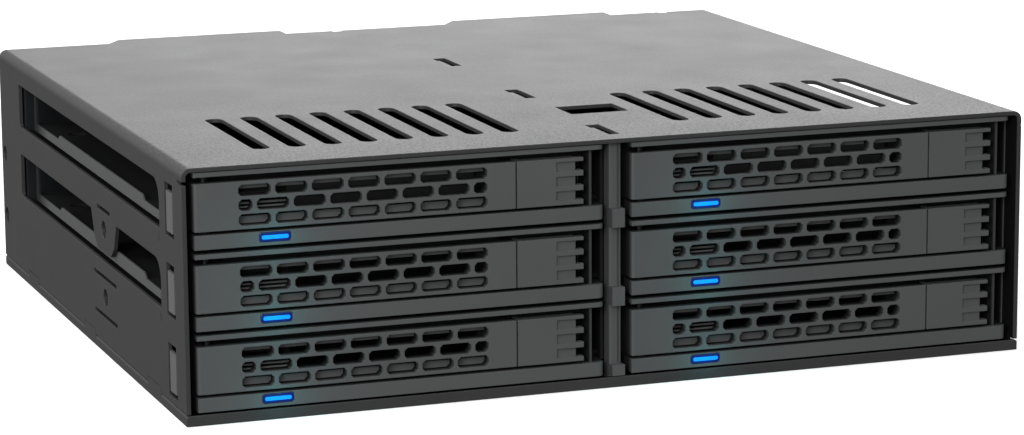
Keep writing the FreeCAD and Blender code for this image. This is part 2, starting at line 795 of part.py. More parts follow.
def make_backplane_board():
    """The circuit board across the cage, with an air slot beside each drive socket."""
    body = new_body("backplane_board")
    sketch = sketch_on(body, "front", board_front)
    half = inner_wall - board_edge_gap
    rectangle(sketch, (-half, pan_gauge + board_edge_gap), (half, ceiling - board_edge_gap), as_size(0.8))
    pad(body, sketch, board_gauge)
    for side in COLUMNS.values():
        vent = sketch_on(body, "front", board_front - 1)
        left = column_x * side + board_vent_left
        low = row_level(0) + drive_floor
        rectangle(vent, (left, low), (left + board_vent_width, low + board_vent_height))
        row_of(body, pocket(body, vent, board_gauge + 2), "Z_Axis", row_pitch * 2, 3)
    return keep(body, "backplane_board")


def bay_spots():
    """Yield every bay as its name, its side and its row."""
    for column, side in COLUMNS.items():
        for row_name, row in ROWS.items():
            yield column + "_" + row_name, side, row


def make_drive_sockets():
    """The six sockets on the board's front that the drives plug into."""
    members = []
    for name, side, row in bay_spots():
        left = column_x * side + socket_offset - socket_width / 2
        low = row_level(row) + drive_floor + socket_lift - socket_height / 2
        front = board_front - socket_depth
        housing = block("socket_housing_" + name, (left, front, low), (socket_width, socket_depth, socket_height))
        blade_low = low + (socket_height - blade_height) / 2
        edge = left + (socket_width - signal_width - supply_width - blade_gap) / 2
        slots = []
        for start, span in ((edge, signal_width), (edge + signal_width + blade_gap, supply_width)):
            slots.append(block("socket_slot_" + name, (start, front, blade_low), (span, blade_depth, blade_height)))
        members.append(cut_from("socket_" + name, housing, slots))
    return keep(group_of("drive_socket_set", members), "drive_sockets")


def make_status_lamps():
    """The surface-mounted lamps on the board, one behind each light pipe."""
    members = []
    for name, side, row in bay_spots():
        corner = (column_x * side + rod_left, board_front - lamp_depth, row_level(row) + rod_low)
        members.append(block("lamp_" + name, corner, (rod_width, lamp_depth, rod_height)))
    return keep(group_of("lamp_set", members), "status_lamps")


def make_port(name, x, z, tall):
    """One shrouded rear header that stands upright, with its contact tongue inside."""
    low = z - tall / 2
    left = x - port_width / 2
    shell = block(name + "_shell", (left, board_back, low), (port_width, port_depth, tall))
    mouth = block(name + "_mouth", (left + port_wall, board_back + port_wall, low + port_wall),
                  (port_width - port_wall * 2, port_depth, tall - port_wall * 2))
    shroud = cut_from(name + "_shroud", shell, [mouth])
    tongue = block(name + "_tongue", (x - port_tongue / 2, board_back, low + port_wall * 2),
                   (port_tongue, port_depth - port_wall, tall - port_wall * 4))
    item = doc.addObject("Part::Fuse", name)
    item.Base = shroud
    item.Tool = tongue
    return item


def make_rear_ports():
    """Six data headers between the fans and one supply header outside each fan."""
    data = []
    for level, lift in enumerate((-port_level_pitch / 2, port_level_pitch / 2)):
        for place_across in (-1, 0, 1):
            name = "data_port_%d_%d" % (level, place_across + 1)
            data.append(make_port(name, port_pitch * place_across, level_middle + lift, port_height))
    keep(group_of("data_port_set", data), "data_ports")
    supply = []
    for column, side in COLUMNS.items():
        name = "supply_port_" + column
        supply.append(make_port(name, supply_port_offset * side, level_middle, supply_port_height))
    keep(group_of("supply_port_set", supply), "supply_ports")


def make_rear_panel():
    """The plate that closes the back: fan bores, port wells, tapped holes and two lugs."""
    body = new_body("rear_panel")
    sketch = sketch_on(body, "front", panel_front)
    half = inner_wall - panel_edge_gap
    rectangle(sketch, (-half, lip_height + panel_edge_gap), (half, ceiling - panel_edge_gap), bend_radius)
    pad(body, sketch, panel_gauge)
    cuts = sketch_on(body, "front", panel_front - 1)
    rectangle(cuts, (-port_well_half, level_middle - port_well_height / 2),
              (port_well_half, level_middle + port_well_height / 2), as_size(1.0))
    for side in COLUMNS.values():
        ring(cuts, fan_offset * side, fan_centre, fan_bore)
        middle = supply_port_offset * side
        rectangle(cuts, (middle - supply_well_width / 2, level_middle - supply_well_height / 2),
                  (middle + supply_well_width / 2, level_middle + supply_well_height / 2), as_size(1.0))
        for across in (-fan_hole_half, fan_hole_half):
            for up in (-fan_hole_half, fan_hole_half):
                ring(cuts, fan_offset * side + across, fan_centre + up, tapped_radius)
    pocket(body, cuts, panel_gauge + 2)
    lugs = sketch_on(body, "front", panel_front)
    for centre in (lug_left, lug_right):
        rectangle(lugs, (centre - lug_width / 2, ceiling - 1), (centre + lug_width / 2, height - seam_gap))
    pad(body, lugs, panel_gauge)
    return keep(body, "rear_panel")


def make_fan_frame(column, side):
    """A square fan housing: round bore, corner holes, motor seat, four struts and a bush."""
    body = new_body("fan_frame_" + column)
    half = fan_side / 2
    square = sketch_on(body, "front", NONE)
    rectangle(square, (-half, -half), (half, half), fan_corner)
    pad(body, square, fan_depth)
    bore = sketch_on(body, "front", as_size(-1))
    ring(bore, NONE, NONE, fan_bore)
    pocket(body, bore, fan_depth + 2)
    seat = sketch_on(body, "front", fan_depth - motor_gauge)
    ring(seat, NONE, NONE, motor_radius)
    strut = sketch_on(body, "front", fan_depth - motor_gauge)
    rectangle(strut, (-strut_width / 2, motor_radius / 2), (strut_width / 2, fan_bore + 1))
    circle_of(body, pad(body, strut, motor_gauge), 4)
    pad(body, seat, motor_gauge)
    bush = sketch_on(body, "front", fan_depth - bush_length)
    ring(bush, NONE, NONE, bush_radius)
    pad(body, bush, bush_length)
    eye = sketch_on(body, "front", fan_depth - bush_length - 1)
    ring(eye, NONE, NONE, shaft_radius + pin_clearance)
    pocket(body, eye, bush_length + 2)
    hole = sketch_on(body, "front", as_size(-1))
    ring(hole, fan_hole_half, fan_hole_half, fan_hole_radius)
    circle_of(body, pocket(body, hole, fan_depth + 2), 4)
    return keep(body, "fan_frame_" + column, fan_offset * side, front_plane + depth, fan_centre)


def blade_section(radius, pitch_angle, chord):
    """Return a thin cambered four-point section across a blade, at a distance from the axis."""
    along = FreeCAD.Vector(math.cos(pitch_angle), math.sin(pitch_angle), 0) * (chord / 2)
    across = FreeCAD.Vector(-math.sin(pitch_angle), math.cos(pitch_angle), 0) * (blade_gauge.value / 2)
    spots = [-along - across, along - across, along + across, -along + across]
    middle = rotor_front.value + rotor_length.value / 2
    turned = [FreeCAD.Vector(spot.x, middle + spot.y, radius) for spot in spots]
    return Part.makePolygon(turned + turned[:1])


def make_fan_rotor(column, side):
    """The impeller: a hub cup, seven twisted blades lofted from root to tip, and its shaft."""
    axis = FreeCAD.Vector(0, 1, 0)
    start = FreeCAD.Vector(0, rotor_front.value, 0)
    hub = Part.makeCylinder(rotor_hub_radius.value, rotor_length.value, start, axis)
    shaft_end = fan_depth.value - motor_gauge.value
    shaft = Part.makeCylinder(shaft_radius.value, shaft_end - rotor_front.value, start, axis)
    sections = []
    for share, pitch_degrees, chord in ((0.0, 52.0, 5.2), (0.5, 42.0, 6.6), (1.0, 32.0, 7.8)):
        root = rotor_hub_radius.value - blade_gauge.value
        radius = root + (rotor_radius.value - root) * share
        sections.append(blade_section(radius, math.radians(pitch_degrees), chord * rotor_length.value / 5))
    blade = Part.makeLoft(sections, True, False)
    blades = []
    for index in range(BLADES):
        copy = blade.copy()
        copy.rotate(FreeCAD.Vector(), axis, 360.0 * index / BLADES)
        blades.append(copy)
    item = doc.addObject("Part::Feature", "fan_rotor_" + column + "_form")
    item.Shape = hub.multiFuse(blades + [shaft]).removeSplitter()
    return keep(item, "fan_rotor_" + column, fan_offset * side, front_plane + depth, fan_centre)


def make_fan_screws():
    """The eight screws that hold the fans to the panel from behind."""
    members = []
    length = fan_depth + panel_gauge
    for column, side in COLUMNS.items():
        for number, (across, up) in enumerate(((-1, -1), (1, -1), (1, 1), (-1, 1))):
            name = "fan_screw_%s_%d" % (column, number)
            x = fan_offset * side + fan_hole_half * across
            z = fan_centre + fan_hole_half * up
            shank = rod_along_y(name + "_shank", x, panel_front, z, screw_radius, length + 0.2)
            head = rod_along_y(name + "_head", x, depth + fan_depth, z, screw_head_radius, screw_head_height)
            item = doc.addObject("Part::Fuse", name)
            item.Base = head
            item.Tool = shank
            members.append(item)
    return keep(group_of("fan_screw_set", members), "fan_screws")


def make_board_standoffs():
    """The four hexagonal posts between the board and the rear panel."""
    members = []
    for column, side in COLUMNS.items():
        for level, z in (("low", standoff_low), ("high", standoff_high)):
            name = "standoff_%s_%s" % (column, level)
            members.append(rod_along_y(name, standoff_offset * side, board_back, z,
                                       standoff_radius, panel_front - board_back, 6))
    return keep(group_of("standoff_set", members), "board_standoffs")


def make_carrier(bay, x, z):
    """The tray: vented floor, low rails, a front wall with a mouth and fins, and the bezel's strip and bar."""
    body = new_body("carrier_" + bay)
    floor = sketch_on(body, "plan", bar_height)
    rectangle(floor, (-tray_half, bezel_back), (tray_half, tray_length))
    pad(body, floor, floor_gauge)
    vent = sketch_on(body, "plan", bar_height - 1)
    rectangle(vent, (-floor_vent_half, floor_vent_front), (floor_vent_half, floor_vent_front + floor_vent_length),
              as_size(1.0))
    row_of(body, pocket(body, vent, floor_gauge + 2), "Y_Axis", floor_vent_pitch * (FLOOR_VENTS - 1), FLOOR_VENTS)
    for left in (-tray_half, tray_inner):
        rail = sketch_on(body, "side", left)
        draw_rail(rail)
        pad(body, rail, tray_wall)
    skirts = sketch_on(body, "plan", bar_height - skirt_drop)
    for side in COLUMNS.values():
        outer = (tray_half - skirt_inset) * side
        inner = (tray_half - skirt_inset - skirt_width) * side
        low, high = (outer, inner) if side < 0 else (inner, outer)
        rectangle(skirts, (low, bezel_back), (high, tray_length))
    pad(body, skirts, skirt_drop)
    draw_front(body)
    holes = sketch_on(body, "plan", bar_height - 1)
    for across in (-drive_hole_half, drive_hole_half):
        for back in (drive_hole_back, drive_hole_back + drive_hole_pitch):
            ring(holes, across, drive_back - back, drive_hole_radius)
    pocket(body, holes, floor_gauge + 2)
    return keep(body, "carrier_" + bay, x, front_plane, z)


def draw_rail(sketch):
    """Draw the tray's side: front cheek, catch bump, low rail, raised middle and rear ear."""
    low = rail_lift
    rail = low + rail_height
    raised = low + rail_raised
    outline(sketch, [
        (cheek_front, low), (tray_length, low), (tray_length, low + ear_height),
        (tray_length - ear_length, low + ear_height), (tray_length - ear_length, rail),
        (raised_back + raised_slope, rail), (raised_back, raised), (raised_front, raised),
        (raised_front - raised_slope, rail), (bump_back, rail), (bump_back, low + bump_height),
        (bump_front, low + bump_height), (bump_front, rail), (cheek_back, rail), (cheek_back, strip_low),
        (cheek_front, strip_low)])


def draw_front(body):
    """Add the tray's front: wall, strip, bar and pocket wall, then their cut-outs."""
    wall = sketch_on(body, "front", bezel_back)
    rectangle(wall, (-bezel_half, bar_height - skirt_drop), (pocket_wall_left + pocket_wall_gauge, strip_low))
    pad(body, wall, front_wall)
    for low, tall in ((NONE, bar_height), (strip_low, strip_height)):
        plan = sketch_on(body, "plan", low)
        outline(plan, [(-bezel_half, face_set_back), (bezel_half, face_set_back, bezel_round),
                       (bezel_half, wall_back), (-bezel_half, wall_back)])
        pad(body, plan, tall)
    pocket_wall = sketch_on(body, "plan", bar_height)
    rectangle(pocket_wall, (pocket_wall_left, pocket_wall_front),
              (pocket_wall_left + pocket_wall_gauge, bezel_back))
    pad(body, pocket_wall, strip_low - bar_height)
    mouth = sketch_on(body, "front", bezel_back - 1)
    slot_right = slot_left + slot_pitch * (SLOTS_PER_ROW - 1) + slot_length
    fins_right = slot_left + slot_pitch / 2 + slot_length
    rectangle(mouth, (fins_right + fin_pitch, mouth_low), (slot_right, mouth_low + mouth_height), as_size(0.6))
    pocket(body, mouth, front_wall + 2)
    slit = sketch_on(body, "front", bezel_back - 1)
    low = mouth_low + (mouth_height - fin_pitch * 2 - fin_slit) / 2
    rectangle(slit, (slot_left, low), (fins_right, low + fin_slit))
    row_of(body, pocket(body, slit, front_wall + 2), "Z_Axis", fin_pitch * 2, 3)
    gate = sketch_on(body, "front", bezel_back - 1)
    rectangle(gate, (stem_left - running_gap, stem_low - running_gap),
              (stem_left + stem_width + latch_travel + running_gap, stem_low + stem_height + running_gap))
    pocket(body, gate, front_wall + 2)
    seat = sketch_on(body, "front", as_size(-1))
    rectangle(seat, (lens_left - lens_fit, lens_lift - lens_fit),
              (lens_left + lens_width + lens_fit, lens_lift + lens_height + lens_fit), lens_round)
    pocket(body, seat, lens_depth + lens_fit + 1)
    tunnel = sketch_on(body, "front", as_size(-1))
    rectangle(tunnel, (rod_left - lens_fit, rod_low - lens_fit),
              (rod_left + rod_width + lens_fit, rod_low + rod_height + lens_fit))
    pocket(body, tunnel, wall_back + 2)
    bore = sketch_on(body, "plan", as_size(-1))
    ring(bore, hinge_x, hinge_y, pin_radius + pin_clearance)
    pocket(body, bore, bezel_height + 2)
    counterbore = sketch_on(body, "plan", as_size(-1))
    ring(counterbore, hinge_x, hinge_y, pin_head_radius + pin_clearance)
    pocket(body, counterbore, pin_head_height + pin_clearance * 2 + 1)


def make_handle(bay, x, z):
    """The vented front handle with a hinge barrel at its left and a catch finger at its right."""
    body = new_body("handle_" + bay)
    plan = sketch_on(body, "plan", handle_low)
    draw_handle_plan(plan)
    pad(body, plan, handle_height)
    bore = sketch_on(body, "plan", handle_low - 1)
    ring(bore, hinge_x, hinge_y, pin_radius + pin_clearance)
    pocket(body, bore, handle_height + 2)
    middle = handle_low + handle_height / 2
    full = sketch_on(body, "front", as_size(-1))
    for level in (middle - slot_row_pitch, middle + slot_row_pitch):
        clipped_rectangle(full, (slot_left, level - slot_height / 2),
                          (slot_left + slot_length, level + slot_height / 2), slot_corner)
    row_of(body, pocket(body, full, plate_back + 2), "X_Axis", slot_pitch * (SLOTS_PER_ROW - 1), SLOTS_PER_ROW)
    offset = sketch_on(body, "front", as_size(-1))
    left = slot_left + slot_pitch / 2
    clipped_rectangle(offset, (left, middle - slot_height / 2),
                      (left + slot_length, middle + slot_height / 2), slot_corner)
    row_of(body, pocket(body, offset, plate_back + 2), "X_Axis", slot_pitch * (SLOTS_PER_ROW - 2),
           SLOTS_PER_ROW - 1)
    ends = sketch_on(body, "front", as_size(-1))
    slot_right = slot_left + slot_pitch * (SLOTS_PER_ROW - 1) + slot_length
    for left in (slot_left, slot_right - short_slot):
        clipped_rectangle(ends, (left, middle - slot_height / 2), (left + short_slot, middle + slot_height / 2),
                          slot_corner)
    pocket(body, ends, plate_back + 2)
    return keep(body, "handle_" + bay, x, front_plane, z)


def draw_handle_plan(sketch):
    """Draw the handle seen from above: plate, round-backed barrel at the left, finger at the right."""
    front = face_set_back
    back = plate_back
    left = hinge_x - handle_gauge
    barrel_back = hinge_y + handle_gauge
    finger_right = finger_left + finger_gauge
    finger_back = back + finger_depth
    outline(sketch, [
        (left, front, handle_round), (handle_right, front), (handle_right, back), (finger_right, back),
        (finger_right, finger_back - finger_lip), (handle_right, finger_back - finger_lip),
        (handle_right, finger_back), (finger_left, finger_back), (finger_left, back),
        (hinge_x + handle_gauge * 1.5, back), (hinge_x + handle_gauge, barrel_back),
        (left, barrel_back, handle_gauge)])


def make_hinge_pin(bay, x, z):
    """The headed pin that the handle turns on, pushed up through the bar."""
    shank = doc.addObject("Part::Cylinder", "hinge_pin_shank_" + bay)
    drive(shank, "Radius", pin_radius)
    drive(shank, "Height", bezel_height - pin_clearance * 2)
    place(shank, hinge_x, hinge_y, pin_clearance)
    head = doc.addObject("Part::Cylinder", "hinge_pin_head_" + bay)
    drive(head, "Radius", pin_head_radius)
    drive(head, "Height", pin_head_height)
    place(head, hinge_x, hinge_y, pin_clearance)
    item = doc.addObject("Part::Fuse", "hinge_pin_form_" + bay)
    item.Base = head
    item.Tool = shank
    return keep(item, "hinge_pin_" + bay, x, front_plane, z)


def make_handle_spring(bay, x, z):
    """The bent flat spring between the tray's front wall and the back of the handle."""
    body = new_body("handle_spring_" + bay)
    rest = bezel_back
    left = hinge_x + handle_gauge * 2
    right = slot_left - spring_gauge * 2
    touch = plate_back + running_gap
    sketch = sketch_on(body, "plan", handle_low + (handle_height - spring_height) / 2)
    outline(sketch, [
        (right, rest), (left, rest), (left, rest - spring_gauge), (right - spring_gauge, touch),
        (right, touch), (left + spring_gauge * 2, rest - spring_gauge), (right, rest - spring_gauge)])
    pad(body, sketch, spring_height)
    return keep(body, "handle_spring_" + bay, x, front_plane, z)


def make_latch(bay, x, z):
    """The sliding latch: flat plate, three finger recesses, four ridges, keeper and stem."""
    body = new_body("latch_" + bay)
    front = face_set_back
    plan = sketch_on(body, "plan", handle_low)
    keeper_right = latch_left + keeper_width
    keeper_back = plate_back + keeper_depth
    outline(plan, [(latch_left, front), (latch_plate_right, front), (latch_plate_right, plate_back),
                   (keeper_right, plate_back), (keeper_right, keeper_back), (latch_left, keeper_back)])
    pad(body, plan, handle_height)
    ridges = sketch_on(body, "front", front)
    recesses = sketch_on(body, "front", front - 1)
    low = handle_low
    for index in range(3):
        grip_low = handle_low + grip_first + grip_pitch * index
        rectangle(ridges, (latch_plate_right - grip_depth, low), (latch_right, grip_low))
        rectangle(recesses, (grip_left, grip_low), (latch_plate_right + 1, grip_low + grip_height))
        low = grip_low + grip_height
    rectangle(ridges, (latch_plate_right - grip_depth, low), (latch_right, handle_high))
    pad(body, ridges, ridge_gauge)
    pocket(body, recesses, grip_depth + 1)
    stem = sketch_on(body, "front", front + grip_depth)
    rectangle(stem, (stem_left, stem_low), (stem_left + stem_width, stem_low + stem_height))
    pad(body, stem, wall_back + running_gap - front - grip_depth)
    foot = sketch_on(body, "front", wall_back + running_gap)
    rectangle(foot, (stem_left, stem_low - foot_overhang), (stem_left + stem_width, stem_low + stem_height + foot_overhang))
    pad(body, foot, foot_gauge)
    return keep(body, "latch_" + bay, x, front_plane, z)


def make_latch_spring(bay, x, z):
    """The zigzag flat spring that pushes the latch back towards the handle."""
    body = new_body("latch_spring_" + bay)
    left = stem_left + stem_width
    right = pocket_wall_left - latch_travel - running_gap
    near = plate_back + spring_gauge * 2
    far = bezel_back - spring_gauge * 3
    turns = 4
    step = (right - left) / turns
    front_side = []
    back_side = []
    for index in range(turns + 1):
        level = near if index % 2 == 0 else far
        front_side.append((left + step * index, level))
        back_side.append((left + step * index, level + spring_gauge))
    sketch = sketch_on(body, "plan", handle_low + (handle_height - spring_height) / 2)
    outline(sketch, front_side + back_side[::-1])
    pad(body, sketch, spring_height)
    return keep(body, "latch_spring_" + bay, x, front_plane, z)


def make_light_pipe(bay, x, z):
    """The clear lens in the bar and the rod that brings the lamp's light to it."""
    body = new_body("light_pipe_" + bay)
    lens = sketch_on(body, "front", face_set_back)
    rectangle(lens, (lens_left, lens_lift), (lens_left + lens_width, lens_lift + lens_height), lens_round)
    pad(body, lens, lens_depth - face_set_back)
    rod = sketch_on(body, "front", lens_depth)
    rectangle(rod, (rod_left, rod_low), (rod_left + rod_width, rod_low + rod_height))
    pad(body, rod, board_front - lamp_depth - running_gap * 2 - lens_depth)
    return keep(body, "light_pipe_" + bay, x, front_plane, z)


def make_trays():
    """Build the six trays, each as its separate pieces."""
    for bay, side, row in bay_spots():
        x = column_x * side
        z = row_level(row)
        for maker in (make_carrier, make_handle, make_hinge_pin, make_handle_spring,
                      make_latch, make_latch_spring, make_light_pipe):
            maker(bay, x, z)


def check_model():
    """Stop before writing if anything in the document failed."""
    doc.recompute()
    for item in doc.Objects:
        if "Invalid" in item.State or "Error" in item.State:
            raise ValueError("%s is in state %s" % (item.Name, item.State))
    for cut in cuts:
        if not cut.Shape.Volume < cut.BaseFeature.Shape.Volume:
            raise ValueError("%s cuts nothing" % cut.Name)
    for item in pieces:
        if item.Shape.isNull() or not item.Shape.isValid():
            raise ValueError("%s has no valid shape" % item.Label)
        if not item.Shape.Solids:
            raise ValueError("%s has no solid" % item.Label)


def write_steps():
    os.makedirs("parts", exist_ok=True)
    for item in pieces:
        item.Shape.exportStep("parts/%s.step" % item.Label)
        print(item.Label, len(item.Shape.Solids), round(item.Shape.Volume, 1))


doc.recompute()
make_top_shell()
make_bottom_pan()
make_centre_divider()
make_centre_post()
make_backplane_board()
make_drive_sockets()
make_status_lamps()
make_rear_ports()
make_rear_panel()
for column_name, column_side in COLUMNS.items():
    make_fan_frame(column_name, column_side)
    make_fan_rotor(column_name, column_side)
make_fan_screws()
make_board_standoffs()
make_trays()
check_model()
write_steps()
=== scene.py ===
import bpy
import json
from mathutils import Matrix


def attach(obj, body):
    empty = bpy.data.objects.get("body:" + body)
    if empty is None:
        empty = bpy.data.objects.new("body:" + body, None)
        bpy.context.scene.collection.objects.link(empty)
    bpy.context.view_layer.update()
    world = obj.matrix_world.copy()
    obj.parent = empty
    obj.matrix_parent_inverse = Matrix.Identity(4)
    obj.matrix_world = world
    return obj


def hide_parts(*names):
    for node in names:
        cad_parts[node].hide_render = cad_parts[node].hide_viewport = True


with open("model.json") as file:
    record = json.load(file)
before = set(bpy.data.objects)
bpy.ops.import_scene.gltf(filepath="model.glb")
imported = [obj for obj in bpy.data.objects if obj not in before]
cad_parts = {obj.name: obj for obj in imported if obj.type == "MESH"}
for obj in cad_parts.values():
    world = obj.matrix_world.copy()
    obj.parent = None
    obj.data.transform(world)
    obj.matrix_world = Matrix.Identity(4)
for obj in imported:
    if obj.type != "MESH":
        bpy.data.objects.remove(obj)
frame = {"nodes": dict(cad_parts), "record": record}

import json
import logging
import math
from dataclasses import dataclass
from enum import Enum
from typing import Iterable, Iterator, Sequence

import bpy
from mathutils import Vector

log = logging.getLogger("drive_cage")
MM = 0.001

# Places shared with the CAD, in millimetres.
FRONT = -73.2  # Y of the cage's front plane
COLUMN_X = 36.7  # from the middle of the cage to the middle of a tray
RAIL_X = 71.9  # beyond this the trays' rails show through the side windows
WALL_X = 73.0  # the outer faces of the side walls
TOP_Z = 41.3  # the top face
ROW_BASE = 2.05  # Z of the lowest trays' lowest edge
ROW_PITCH = 13.05
BOARD_BACK = 118.5  # the board's rear face behind the front plane
FAN_X = 34.0  # from the middle of the cage to a fan's axis
FAN_Z = 20.4
CONTACT_PITCH = 1.27


class Column(Enum):
    """The two columns of trays, by the sign of their side."""

    LEFT = -1
    RIGHT = 1


class Row(Enum):
    """The three rows of trays, counted from the floor."""

    LOW = 0
    MIDDLE = 1
    TOP = 2


@dataclass(frozen=True)
class Bay:
    """One tray's place in the cage."""

    column: Column
    row: Row

    @property
    def name(self) -> str:
        """The words that the bay's nodes and bodies end with."""
        return f"{self.column.name.lower()}_{self.row.name.lower()}"

    @property
    def body(self) -> str:
        """The CAD body that the tray moves with."""
        return f"tray_{self.name}"

    def point(self, x: float, y: float, z: float) -> Vector:
        """Turn a place on the tray into the row frame.

        Args:
            x: Millimetres to the right of the tray's middle.
            y: Millimetres behind the cage's front plane.
            z: Millimetres above the tray's lowest edge.

        Returns:
            The same place in metres.
        """
        across = COLUMN_X * self.column.value + x
        up = ROW_BASE + ROW_PITCH * self.row.value + z
        return Vector((across, FRONT + y, up)) * MM


def all_bays() -> Iterator[Bay]:
    """Go through the six bays.

    Returns:
        Each bay once, column by column.
    """
    for column in Column:
        for row in Row:
            yield Bay(column, row)


@dataclass(frozen=True)
class Finish:
    """How one surface answers light.

    Grain, grain_size and edge are lengths in millimetres; a grain of 0 leaves the surface smooth.
    depth_fade and inside are shares of the colour left inside a tray and inside the shell; both are painted
    shade, which also takes the sheen away there.
    """

    slot: str
    colour: tuple[float, float, float]
    roughness: float
    metallic: float = 0.0
    specular: float = 0.5
    grain: float = 0.0
    grain_size: float = 0.3
    speckle: float = 0.0
    mottle: float = 0.06
    edge: float = 0.12
    glow: float = 0.0
    glow_colour: tuple[float, float, float] = (0.0, 0.3, 1.0)
    transmission: float = 0.0
    depth_fade: float = 0.0
    inside: float = 1.0


FINISHES = {
    # shell_paint: inside=0.25 paints shade on the inner faces of the walls and top
    "shell_paint": Finish("shell_paint", (0.031, 0.031, 0.0305), 0.42, specular=0.5,
                          grain=0.02, grain_size=0.36, speckle=0.75, mottle=0.10, edge=0.22, inside=0.25),
    "front_plastic": Finish("front_plastic", (0.073, 0.0745, 0.0745), 0.50, specular=0.4,
                            grain=0.010, grain_size=0.22, mottle=0.06, edge=0.16),
    # the tray finish is front_plastic with painted shade: depth_fade darkens the inside of the trays
    "tray_plastic": Finish("front_plastic", (0.073, 0.0745, 0.0745), 0.50, specular=0.4,
                           grain=0.010, grain_size=0.22, mottle=0.06, edge=0.16, depth_fade=0.22),
    "board_mask": Finish("board_mask", (0.012, 0.013, 0.015), 0.30, mottle=0.12, edge=0.05),
    "pin_dark": Finish("pin_dark", (0.03, 0.03, 0.03), 0.35, metallic=1.0, edge=0.05),
    "connector_black": Finish("connector_black", (0.012, 0.012, 0.013), 0.42, edge=0.1),
    "connector_white": Finish("connector_white", (0.62, 0.60, 0.54), 0.45, edge=0.1),
    "lamp_body": Finish("lamp_body", (0.55, 0.62, 0.7), 0.2, glow=1.0),
    "pipe_clear": Finish("pipe_clear", (0.10, 0.14, 0.20), 0.18, transmission=0.6, edge=0.05),
    "fan_plastic": Finish("fan_plastic", (0.018, 0.018, 0.019), 0.36, grain=0.004, edge=0.15),
    "screw_steel": Finish("screw_steel", (0.50, 0.50, 0.51), 0.28, metallic=1.0, edge=0.08),
    "spring_steel": Finish("spring_steel", (0.56, 0.56, 0.57), 0.24, metallic=1.0, edge=0.03),
    "standoff_brass": Finish("standoff_brass", (0.70, 0.50, 0.20), 0.28, metallic=1.0, edge=0.08),
    "chip_black": Finish("connector_black", (0.014, 0.014, 0.015), 0.55, grain=0.004, edge=0.05),
    "contact_gold": Finish("standoff_brass", (0.83, 0.60, 0.24), 0.25, metallic=1.0, edge=0.02),
    "capacitor_can": Finish("screw_steel", (0.60, 0.60, 0.61), 0.30, metallic=1.0, edge=0.1),
    "solder_tin": Finish("screw_steel", (0.62, 0.62, 0.60), 0.25, metallic=1.0, edge=0.03),
    "lens_rim": Finish("pipe_clear", (0.0, 0.005, 0.06), 0.25, glow=0.11,
                       glow_colour=(0.0, 0.07, 0.62), edge=0.03),
    "lens_light": Finish("pipe_clear", (0.0, 0.12, 0.5), 0.3, glow=1.0,
                         glow_colour=(0.0, 0.20, 1.0), edge=0.03),
    # the catch pads' finish is front_plastic made paler: painted light on the bumps in the side windows
    "pad_pale_with_painted_light": Finish("front_plastic", (0.105, 0.108, 0.104), 0.45, mottle=0.15, edge=0.05),
    "slot_plate": Finish("front_plastic", (0.085, 0.087, 0.087), 0.45, grain=0.008, mottle=0.06, edge=0.05),
    "label_silver": Finish("screw_steel", (0.42, 0.42, 0.43), 0.45, metallic=0.6, edge=0.03),
}


